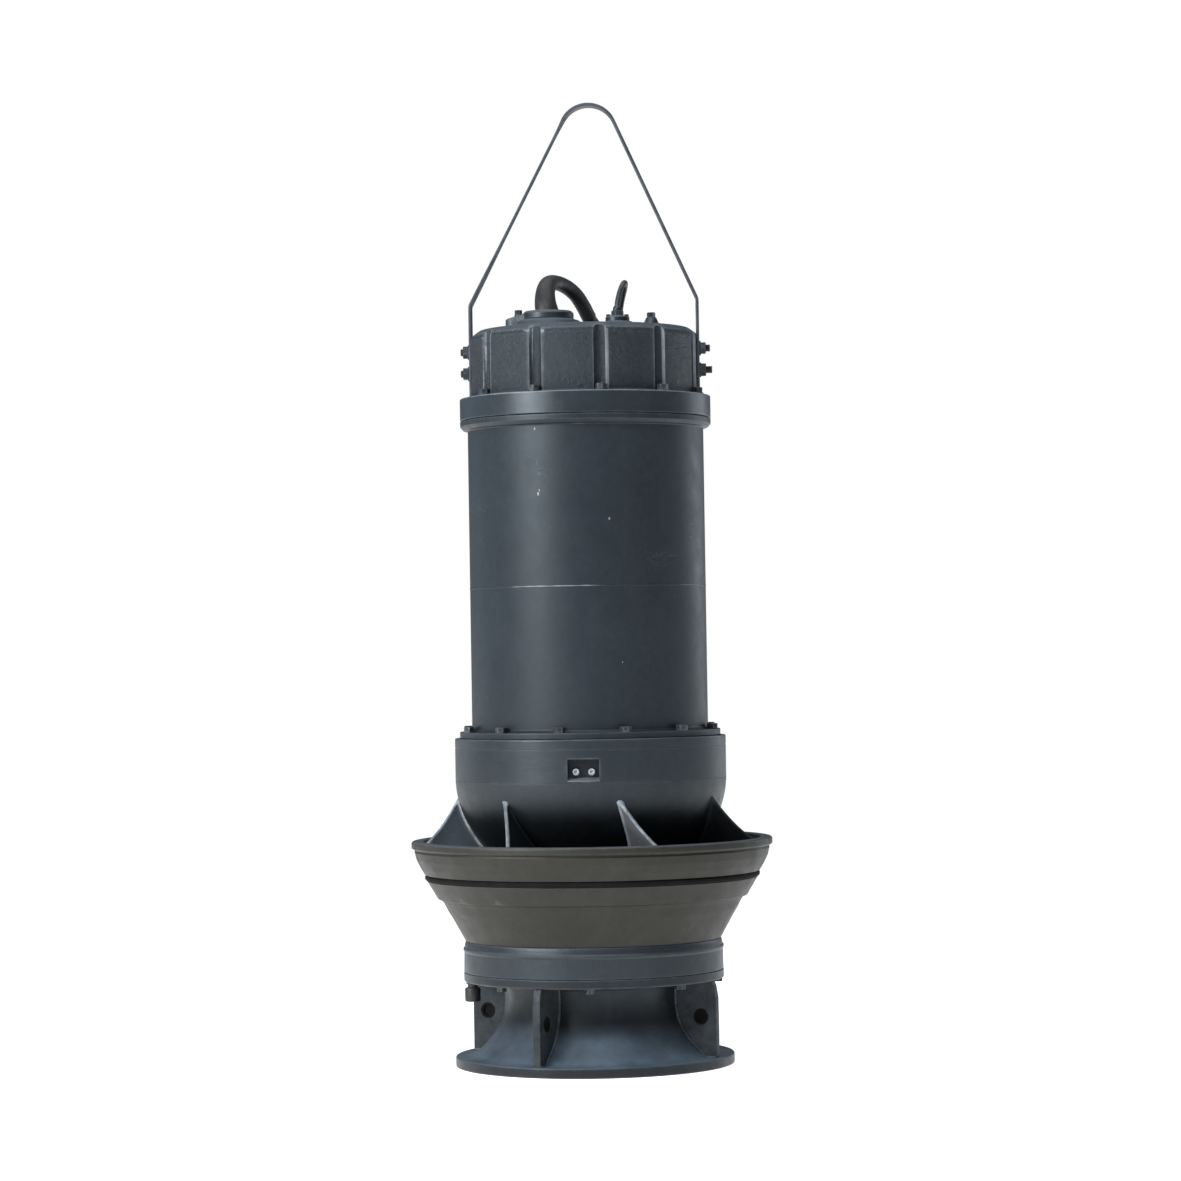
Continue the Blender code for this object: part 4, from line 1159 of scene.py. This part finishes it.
for k in range(7):
    rows, across = 56, 12
    grid = []
    for i in range(rows + 1):
        v = i / rows
        line = []
        for j in range(across + 1):
            u = j / across
            top = 428.0 - 71.5 * u
            z = top + (272.0 - top) * v
            d = top - z
            az = 11.8 + 10.5 * u + 0.085 * d + 0.0004 * d * d
            slope = 0.085 + 0.0008 * d
            low, high = hub_out(z) - 0.8, min(casing_in(z), 267.2) + 0.6
            r = low + (high - low) * u
            lean_a = math.atan(math.radians(slope) * r)
            half = 3.0 / math.cos(lean_a)
            # The trailing edge is rounded, and a fillet widens the foot.
            half *= min(1.0, math.sqrt(max(0.0, 1 - (1 - min(1.0, d / 3.2)) ** 2)) * 0.98 + 0.02)
            foot = max(0.0, 1 - (r - low) / 7.0)
            tip = max(0.0, 1 - (high - r) / 7.0) if z < 350 else 0.0
            half += 3.0 * (foot * foot + tip * tip)
            line.append((r, az + k * 360.0 / 7, z, math.degrees(half / r)))
        grid.append(line)
    bm = bmesh.new()
    sides = [[[bm.verts.new(azimuth(az + s * h, r, z)) for r, az, z, h in line] for line in grid] for s in (-1, 1)]
    a, b = sides
    for i in range(rows):
        for j in range(across):
            bm.faces.new((a[i][j], a[i][j + 1], a[i + 1][j + 1], a[i + 1][j]))
            bm.faces.new((b[i][j], b[i + 1][j], b[i + 1][j + 1], b[i][j + 1]))
        for j in (0, across):
            bm.faces.new((a[i][j], a[i + 1][j], b[i + 1][j], b[i][j]))
    for j in range(across):
        for i in (0, rows):
            bm.faces.new((a[i][j], b[i][j], b[i][j + 1], a[i][j + 1]))
    vane = from_bm(f"guide_vane_look_{k + 1}", bm, VANE_PAINT, angle=50.0)
    if k in (1, 6):
        # These two are painted dark, a painted shade on faces lying in shade; one keeps the vane paint's pale edge
        # along its trailing edge, a painted highlight.
        vane.data.materials.append(VANE_SHADE)
        for face in vane.data.polygons:
            z = face.center.z / MM
            low, high = hub_out(z) - 0.8, min(casing_in(z), 267.2) + 0.6
            u = (math.hypot(face.center.x, face.center.y) / MM - low) / (high - low)
            if 428.0 - 71.5 * u - z > (5.0 if k == 6 else -20.0):
                face.material_index = 1
    if k in (0, 5):
        # These two are painted pale on their left faces, a painted lit side where the light falls.
        vane.data.materials.append(VANE_LIT)
        for face in vane.data.polygons:
            a_ = math.atan2(face.center.x, -face.center.y)
            if face.normal.dot(Vector((math.cos(a_), math.sin(a_), 0.0))) < -0.6:
                face.material_index = 1
    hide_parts(f"guide_vane_{k + 1}")

# Dark plugs fill the ribs' holes: painted shade, a dark fill standing in for the shade seen through them.
for k in range(4):
    bm = bmesh.new()
    m = (
        about_z(-25.0 + 90.0 * k - 90.0)
        @ Matrix.Translation((187.0, 0, 80.0))
        @ Matrix.Rotation(math.pi / 2, 4, "X")
    )
    rows = [(11.9, -5.6), (12.4, -5.2), (12.4, 5.2), (11.9, 5.6), (9.6, 5.6), (9.0, 5.2), (8.4, 2.6), (0.4, 2.2)]
    loft_into(bm, [ring(0.4, -2.2, 32), ring(8.4, -2.6, 32), ring(9.0, -5.2, 32), ring(9.6, -5.6, 32)] + [ring(r, z, 32) for r, z in rows], m)
    plug = from_bm(f"rib_hole_shade_plug_{k + 1}", bm, RING_RUBBER)

# Drain plug under the casing ring's left side.
bm = bmesh.new()
m = Matrix.Translation((-193.0, -34.0, 0))
loft_into(
    bm,
    [ring(r, z, 40) for r, z in ((9.5, 104.6), (11.4, 105.0), (12.2, 106.2), (12.4, 108.0), (12.4, 124.5), (11.6, 126.4), (8.6, 127.2), (8.0, 128.0), (8.0, 135.3))],
    m,
)
drain = from_bm("drain_plug_look", bm, RUBBER)
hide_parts("drain_plug")

# ------------------------------------------------------------ motor housing

chamber = lathe(
    "oil_chamber_look",
    [
        (188.0, 521.7, 1.0),
        (216.3, 521.7, 1.8),
        (216.3, 507.2, 0.3),
        (215.7, 506.9, 0.3),
        (215.7, 506.1, 0.3),
        (216.3, 505.8, 0.3),
        (216.3, 500.0, 0.0),
        (216.3, 494.0, 0.0),
        (216.3, 473.0, 0.0),
        (216.3, 455.2, 0.2),
        (182.0, 455.2, 1.0),
        (182.0, 500.0, 1.0),
        (188.0, 502.0, 1.0),
    ],
    TURNED_PAINT,
    160,
)
pocket = bmesh.new()
# The pocket's floor slopes down to the front, and its back wall leans out at the foot.
near = [pocket.verts.new(p) for p in ((-24.5, -232.0, 491.2), (24.5, -232.0, 491.2), (24.5, -232.0, 454.0), (-24.5, -232.0, 454.0))]
far = [pocket.verts.new(p) for p in ((-24.0, -197.0, 491.2), (24.0, -197.0, 491.2), (24.0, -199.5, 462.5), (-24.0, -199.5, 462.5))]
pocket.faces.new(near)
pocket.faces.new(list(reversed(far)))
for i in range(4):
    j = (i + 1) % 4
    pocket.faces.new((near[i], far[i], far[j], near[j]))
bmesh.ops.transform(pocket, matrix=about_z(-3.0), verts=pocket.verts)
cutter = helper("pocket", pocket)
boolean(chamber, [cutter])
bevel(chamber, 1.2, 2, 55.0)
settle(chamber, 30.0, [cutter])
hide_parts("oil_chamber")


def turned_to(point, az):
    """Degrees between a point's azimuth and az."""
    here = math.degrees(math.atan2(point.x, -point.y))
    return (here - az + 180.0) % 360.0 - 180.0


# Painted highlight: the pocket's upward-facing lower lip is painted pale where it catches the light.
chamber.data.materials.append(PAINTED_HIGHLIGHT)
for face in chamber.data.polygons:
    c = face.center
    if 456.8 * MM < c.z < 463.0 * MM and abs(turned_to(c, -3.0)) < 7.5 and face.normal.z > 0.25:
        if math.hypot(c.x, c.y) > 199.8 * MM:
            face.material_index = 1

for k, sidex in enumerate((-12.2, 12.2)):
    bm = bmesh.new()
    m = (
        about_z(-3.0)
        @ Matrix.Translation((sidex, -201.5, 470.5))
        @ Matrix.Rotation(math.pi / 2 - 0.26, 4, "X")
    )
    rows = [(3.5, -9.0), (3.5, -2.0), (5.2, -1.8), (5.5, -1.0), (5.5, 4.6), (4.9, 5.4), (2.9, 5.5), (2.6, 5.3), (2.6, 2.5), (0.3, 2.0)]
    loft_into(bm, [ring(r, z, 30) for r, z in rows], m)
    plug = from_bm(f"oil_plug_look_{k + 1}", bm, PLUG_STEEL)
    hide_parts(f"oil_plug_{k + 1}")

shell = lathe(
    "motor_shell_look",
    [
        (178.3, 1027.2, 0.5),
        (200.5, 1027.2, 1.2),
        (200.5, 1018.5, 1.5),
        (195.8, 1013.2, 1.5),
        (189.6, 1012.0, 1.0),
        (188.5, 1010.6, 1.0),
        (188.5, 761.4, 0.0),
        (188.95, 760.4, 0.3),
        (188.95, 759.2, 0.3),
        (188.5, 758.2, 0.0),
        (188.5, 536.0, 3.0),
        (191.5, 532.0, 2.0),
        (208.0, 532.0, 1.5),
        (208.0, 522.2, 1.0),
        (178.3, 522.2, 0.5),
    ],
    TUBE_PAINT,
    192,
    angle=25.0,
)
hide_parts("motor_shell")

bm = bmesh.new()
for number, (x, z, size) in enumerate(((-75.0, 903.5, 3.6), (-73.0, 909.0, 2.2), (35.0, 863.0, 2.8), (-79.0, 1005.0, 2.6), (52.0, 640.0, 1.8))):
    m = about_z(math.degrees(math.asin(x / 188.6))) @ Matrix.Translation((0, -188.62, z)) @ Matrix.Rotation(math.pi / 2, 4, "X")
    rim = []
    for i in range(14):
        a = TAU * i / 14
        r = size * (0.55 + 0.45 * abs(math.sin(2.3 * i + number * 1.7)))
        rim.append((0.55 * r * math.cos(a), r * math.sin(a), 0.0))
    loft_into(bm, [[(px_, py_, -0.3) for px_, py_, _ in rim], [(px_ * 0.9, py_ * 0.9, 0.08) for px_, py_, _ in rim]], m)
chips = from_bm("tube_paint_chips", bm, CHIP)

# A painted highlight runs along parts of the tube's seam, as pale strips.
bm = bmesh.new()
for start, stop, half in ((-40.0, 6.5, 1.1), (49.0, 82.0, 0.5)):
    strip = []
    for i in range(61):
        u = i / 60
        az = start + (stop - start) * u
        h = half * min(1.0, 6 * u, 6 * (1 - u)) * (0.72 + 0.28 * math.sin(9.0 * u + 0.6) * math.sin(31.0 * u)) + 0.05
        strip.append([bm.verts.new(azimuth(az, r, 759.8 + z)) for r, z in ((188.7, -h), (189.02, -h * 0.8), (189.02, h * 0.8), (188.7, h))])
    for p_, q_ in zip(strip, strip[1:]):
        for i in range(4):
            j = (i + 1) % 4
            bm.faces.new((p_[i], p_[j], q_[j], q_[i]))
    bm.faces.new(strip[0])
    bm.faces.new(list(reversed(strip[-1])))
bmesh.ops.recalc_face_normals(bm, faces=bm.faces)
seam = from_bm("tube_seam_highlight", bm, PAINTED_HIGHLIGHT)

bm = bmesh.new()
for k in range(12):
    m = Matrix.Translation(azimuth(16.0 + 30.0 * k, 199.3, 532.0)) @ about_z(17.0 * k)
    hex_head_into(bm, m, 16.6, 8.6, 0)
lower_bolts = from_bm("lower_flange_bolts", bm, BOLT)

# Motor cover.
cover = lathe(
    "motor_cover_look",
    [
        (0.0, 1171.0, 0.0),
        (40.0, 1171.0, 0.0),
        (90.0, 1171.0, 0.0),
        (140.0, 1171.0, 0.0),
        (164.0, 1171.0, 0.0),
        (168.5, 1171.0, 4.0),
        (180.0, 1162.6, 4.0),
        (182.0, 1155.0, 5.0),
        (182.0, 1130.0, 0.0),
        (182.0, 1100.0, 0.0),
        (182.0, 1066.0, 3.0),
        (186.0, 1063.0, 2.0),
        (200.5, 1063.0, 1.6),
        (200.5, 1029.0, 1.0),
        (199.4, 1028.0, 0.4),
        (177.8, 1028.0, 0.5),
        (177.8, 1019.8, 0.5),
        (168.0, 1019.8, 0.5),
        (168.0, 1141.0, 4.0),
        (150.0, 1157.0, 4.0),
        (0.0, 1157.0, 0.0),
    ],
    COVER_PAINT,
    180,
    closed=False,
)
bm = bmesh.new()
GROOVES = [az + side for side in (0, 180) for az in (-57.6, -24.9, 7.8, 40.5, 72.0)]
for az in GROOVES:
    loft_into(
        bm,
        [ring(11.8, 1063.6, 28), ring(11.8, 1178.0, 28)],
        Matrix.Translation(azimuth(az, 187.0, 0)),
    )
pads = bmesh.new()
for side in (0, 180):
    bmesh.ops.create_cube(
        pads,
        size=1.0,
        matrix=about_z(-2.5 + side) @ Matrix.Translation((199.2, 0, 1125.0)) @ Matrix.Diagonal((40.2, 90.0, 121.0, 1.0)),
    )
tools = [helper("pads", pads), helper("scallops", bm)]
boolean(cover, tools)
bevel(cover, 1.1, 2, 42.0)
settle(cover, 30.0, tools)
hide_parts("motor_cover")
# The cover's flange is machined.
cover.data.materials.append(TURNED_PAINT)
for face in cover.data.polygons:
    if face.center.z < 1063.6 * MM:
        face.material_index = 1
# Painted highlight: the lit side of each groove, and the flange's upper edge, are painted pale.
cover.data.materials.append(PAINTED_HIGHLIGHT)
for face in cover.data.polygons:
    c = face.center
    r = math.hypot(c.x, c.y)
    if 1066.0 * MM < c.z < 1160.0 * MM and r > 177.5 * MM and face.area < 4e-4:
        if any(2.75 < turned_to(c, az) < 4.1 for az in GROOVES):
            face.material_index = 2
    if r > 198.9 * MM and 1061.6 * MM < c.z < 1063.2 * MM:
        face.material_index = 2

bm = bmesh.new()
for k, az in enumerate(GROOVES):
    m = Matrix.Translation(azimuth(az, 187.5, 1063.4)) @ about_z(23.0 * k)
    hex_head_into(bm, m, 15.6, 8.4, 9.8, 1.6)
cover_bolts = from_bm("cover_bolts", bm, BOLT)

# --------------------------------------------------------------- the bail

BAIL_T, BAIL_W, BAIL_FACE = 5.0, 29.0, 184.4
APEX = (11.5, 1487.6, 45.2)


def bail_path():
    mid = BAIL_FACE - BAIL_T / 2
    pts = [(-mid, z) for z in (1068.0, 1085.0, 1105.0, 1125.0, 1140.0, 1160.0, 1180.0, 1200.0)]

    def bend(cx, cz, r, a0, a1, n):
        for i in range(n + 1):
            a = math.radians(a0 + (a1 - a0) * i / n)
            pts.append((cx + r * math.cos(a), cz + r * math.sin(a)))

    bend(-mid + 14.0, 1209.6, 14.0, 180.0, 152.5, 6)
    a = math.radians(152.5)
    x1, z1 = APEX[0] + APEX[2] * math.cos(a), APEX[1] + APEX[2] * math.sin(a)
    x0, z0 = pts[-1]
    for i in range(1, 24):
        pts.append((x0 + (x1 - x0) * i / 24, z0 + (z1 - z0) * i / 24))
    bend(APEX[0], APEX[1], APEX[2], 152.5, 24.2, 36)
    x0, z0 = pts[-1]
    x1 = mid - 14.0 + 14.0 * math.cos(math.radians(24.2))
    z1 = 1216.0 + 14.0 * math.sin(math.radians(24.2))
    for i in range(1, 24):
        pts.append((x0 + (x1 - x0) * i / 24, z0 + (z1 - z0) * i / 24))
    bend(mid - 14.0, 1216.0, 14.0, 24.2, 0.0, 6)
    pts += [(mid, z) for z in (1200.0, 1180.0, 1160.0, 1140.0, 1125.0, 1105.0, 1085.0, 1068.0)]
    return pts


def bar_outline():
    return filleted(
        [
            (BAIL_T / 2, -BAIL_W / 2, 1.3),
            (BAIL_T / 2, BAIL_W / 2, 1.3),
            (-BAIL_T / 2, BAIL_W / 2, 1.3),
            (-BAIL_T / 2, -BAIL_W / 2, 1.3),
        ],
        True,
        3,
    )


bm = bmesh.new()
path = bail_path()
rings = []
for i, (x, z) in enumerate(path):
    ax, az_ = path[max(i - 1, 0)]
    bx, bz = path[min(i + 1, len(path) - 1)]
    t = Vector((bx - ax, 0, bz - az_)).normalized()
    n = Vector((-t.z, 0, t.x))
    w = Vector((0, 1, 0))
    if 1225.0 < z < 1512.0 and x < -10.0:
        twist = math.radians(5.5 * ease(min(1.0, (z - 1225.0) / 120.0)))
        if z > 1490.0:
            twist *= max(0.0, (1512.0 - z) / 22.0)
        turn = Matrix.Rotation(twist, 3, t)
        n, w = turn @ n, turn @ w
    c = Vector((x, 0, z))
    rings.append([c + n * p + w * q for p, q in bar_outline()])
loft_into(bm, rings, about_z(-2.5))
bail = from_bm("lifting_bail_look", bm, BAR_PAINT, angle=40.0)
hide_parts("lifting_bail")

number = 0
for side_deg in (0, 180):
    for z in (1139.5, 1105.0):
        number += 1
        proud = 14.0 if side_deg == 180 else (17.0 if z > 1120 else 20.0)
        m = about_z(-2.5 + side_deg) @ Matrix.Translation((BAIL_FACE + 0.1, 0, z)) @ Matrix.Rotation(math.pi / 2, 4, "Y") @ about_z(10.0 + 21.0 * number)
        bm = bmesh.new()
        hex_head_into(bm, m, 18.0, 8.0, 11.8, 2.2, stud=(5.8, proud - 10.3))
        piece = from_bm(f"bail_bolt_look_{number}", bm, DARK_BOLT)
        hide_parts(f"bail_bolt_{number}")

# ------------------------------------------------------------ top fittings

PX, PY = -57.0, 0.0
gland = lathe(
    "power_gland_look",
    [
        (15.5, 1171.2, 0.5),
        (54.6, 1171.2, 1.0),
        (54.6, 1180.0, 3.0),
        (50.0, 1187.0, 4.0),
        (42.0, 1189.8, 1.0),
        (15.5, 1189.8, 0.5),
    ],
    CAST_PAINT,
    64,
    (PX, PY),
)
# The flange's ears, each with its bolt.
bm = bmesh.new()
for ang in (178.0, 72.0):
    outline = []
    for i in range(25):
        a = math.radians(-90 + 180 * i / 24)
        outline.append((55.5 + 13.0 * math.cos(a), 13.0 * math.sin(a)))
    outline += [(30.0, 19.0), (30.0, -19.0)]
    lo = [(x, y, 1171.2) for x, y in outline]
    mid1 = [(x, y, 1189.5 + (68.5 - x) * 0.24) for x, y in outline]
    mid2 = [(52.0 + (x - 52.0) * 0.93, y * 0.93, 1190.8 + (68.5 - x) * 0.26) for x, y in outline]
    loft_into(bm, [lo, mid1, mid2], Matrix.Translation((PX, PY, 0)) @ about_z(ang))
ears = from_bm("power_gland_ears", bm, CAST_PAINT)
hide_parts("power_gland_body")
bm = bmesh.new()
for ang in (178.0, 72.0):
    m = Matrix.Translation((PX, PY, 0)) @ about_z(ang) @ Matrix.Translation((47.5, 0, 1197.0))
    loft_into(bm, [ring(r, z, 24) for r, z in ((6.6, -6.0), (6.6, 1.2), (6.2, 1.6))], m)
    hex_head_into(bm, m @ Matrix.Translation((0, 0, 1.5)), 10.6, 7.2, 0)
ear_bolts = from_bm("power_gland_bolts", bm, DARK_BOLT)
clamp = lathe(
    "power_clamp_look",
    [
        (15.5, 1190.2, 0.5),
        (41.0, 1190.2, 1.0),
        (41.0, 1199.0, 2.5),
        (37.0, 1203.0, 2.5),
        (22.0, 1203.0, 1.0),
        (15.5, 1201.0, 1.0),
    ],
    CAST_PAINT,
    72,
    (PX, PY),
)
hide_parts("power_gland_clamp")

CX, CY = 54.0, -6.0
cgland = lathe(
    "control_gland_look",
    [
        (5.6, 1171.2, 0.3),
        (26.8, 1171.2, 0.8),
        (26.8, 1180.4, 1.5),
        (23.5, 1184.0, 1.5),
        (19.2, 1184.6, 1.0),
        (19.2, 1191.0, 1.0),
        (16.8, 1193.2, 1.0),
        (5.6, 1193.2, 0.3),
    ],
    CAST_PAINT,
    56,
    (CX, CY),
)
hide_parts("control_gland_body")
bm = bmesh.new()
m = Matrix.Translation((CX, CY, 0)) @ about_z(14.0)
e = 18.0 / 2 / math.cos(math.pi / 6)
loft_into(
    bm,
    [
        hexring(18.0, 1193.4, 36, e * 0.98),
        hexring(18.0, 1200.0, 36, e * 0.99),
        hexring(18.0, 1201.2, 36, e * 0.93),
        ring(8.4, 1201.9),
        ring(7.4, 1202.4),
        ring(7.2, 1204.0),
        ring(6.6, 1207.0),
        ring(5.4, 1209.4),
        ring(4.6, 1209.8),
    ],
    m,
)
cnut = from_bm("control_nut_look", bm, BOLT)
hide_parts("control_gland_nut")
bm = bmesh.new()
for ang in (188.0, 8.0):
    m = Matrix.Translation((CX, CY, 1190.6)) @ about_z(ang) @ Matrix.Translation((14.6, 0, 0))
    hex_head_into(bm, m, 6.4, 5.4, 0)
cscrews = from_bm("control_gland_screws", bm, BOLT)

bm = bmesh.new()
m = Matrix.Translation((108.0, -4.0, 0))
loft_into(
    bm,
    [ring(r, z, 36) for r, z in ((13.8, 1171.2), (14.0, 1173.0), (13.4, 1178.0), (8.4, 1189.4), (7.6, 1190.4))],
    m,
)
hex_head_into(bm, m @ Matrix.Translation((0, 0, 1190.3)), 11.8, 8.0, 0)
vent = from_bm("vent_plug_look", bm, BOLT)
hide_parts("vent_plug")

# ------------------------------------------------ CAD pieces that stay as they are

KEEP = {
    "wear_ring": BRONZE,
    "impeller": BRONZE,
    "impeller_nut": BRONZE,
    "shaft": BARE,
    "rotor_core": CORE,
    "stator_core": CORE,
    "winding_upper": COPPER,
    "winding_lower": COPPER,
    "upper_bearing_inner": BARE,
    "upper_bearing_outer": BARE,
    "upper_bearing_cage": BRONZE,
    "lower_bearing_inner": BARE,
    "lower_bearing_outer": BARE,
    "lower_bearing_cage": BRONZE,
    "upper_bearing_bracket": CAST_PAINT,
    "lower_bearing_bracket": CAST_PAINT,
    "seal_plate": CAST_PAINT,
    "mech_seal_seat": CARBIDE,
    "mech_seal_rotor": CARBIDE,
}
for node, mat in KEEP.items():
    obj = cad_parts[node]
    for slot_ in obj.material_slots:
        slot_.material = mat

# ------------------------------------------------------------ floor and light

mesh = bpy.data.meshes.new("floor")
mesh.from_pydata([(-14, -14, 0), (14, -14, 0), (14, 14, 0), (-14, 14, 0)], [], [(0, 1, 2, 3)])
floor = bpy.data.objects.new("floor", mesh)
bpy.context.scene.collection.objects.link(floor)
fmat, fn, fl, fs, fc = new_material("floor_white")
fnoise = noise_node(fn, fl, fc, 2.0, 3.0, 0.5)
ftone = ramp(fn, fl, fnoise.outputs[0], [(0.3, grey(0.78)), (0.7, grey(0.8))])
fl.new(ftone.outputs[0], fs.inputs["Base Color"])
fs.inputs["Roughness"].default_value = 0.85
fs.inputs["Emission Color"].default_value = (1.0, 1.0, 1.0, 1.0)
fs.inputs["Emission Strength"].default_value = 0.86
mesh.materials.append(fmat)

world = bpy.data.worlds.new("studio")
bpy.context.scene.world = world
world.use_nodes = True
wn, wl = world.node_tree.nodes, world.node_tree.links
seen = wn["Background"]
seen.inputs[0].default_value = (1.0, 1.0, 1.0, 1.0)
seen.inputs[1].default_value = 1.0
lit = wn.new("ShaderNodeBackground")
lit.inputs[0].default_value = (0.86, 0.94, 1.0, 1.0)
lit.inputs[1].default_value = 0.2
path_ = wn.new("ShaderNodeLightPath")
both = wn.new("ShaderNodeMixShader")
wl.new(path_.outputs["Is Camera Ray"], both.inputs[0])
wl.new(lit.outputs[0], both.inputs[1])
wl.new(seen.outputs[0], both.inputs[2])
wl.new(both.outputs[0], wn["World Output"].inputs[0])
bpy.context.scene.view_settings.view_transform = "Standard"

def area(name, place, target, size, power, colour=(1, 1, 1)):
    light = bpy.data.lights.new(name, "AREA")
    light.shape = "RECTANGLE"
    light.size, light.size_y = size
    light.energy = power
    light.color = colour
    obj = bpy.data.objects.new(name, light)
    obj.location = place
    obj.rotation_euler = (Vector(target) - Vector(place)).to_track_quat("-Z", "Z").to_euler()
    bpy.context.scene.collection.objects.link(obj)
    return obj


area("key", (-3.2, -2.4, 2.1), (0, 0, 0.7), (1.5, 2.2), 200, (1.0, 0.99, 0.98))
area("left_strip", (-2.6, 1.2, 1.3), (0, 0, 0.75), (1.5, 2.6), 5, (0.6, 0.84, 1.0))
area("right_rim", (2.6, 1.7, 1.3), (0, 0, 0.75), (0.7, 2.4), 13, (0.84, 0.92, 1.0))
area("front_top", (-0.5, -2.6, 4.0), (0, 0, 0.6), (2.4, 1.2), 70, (0.78, 0.9, 1.0))
area("top", (0.0, 0.4, 4.4), (0, 0, 0.0), (4.0, 4.0), 70)
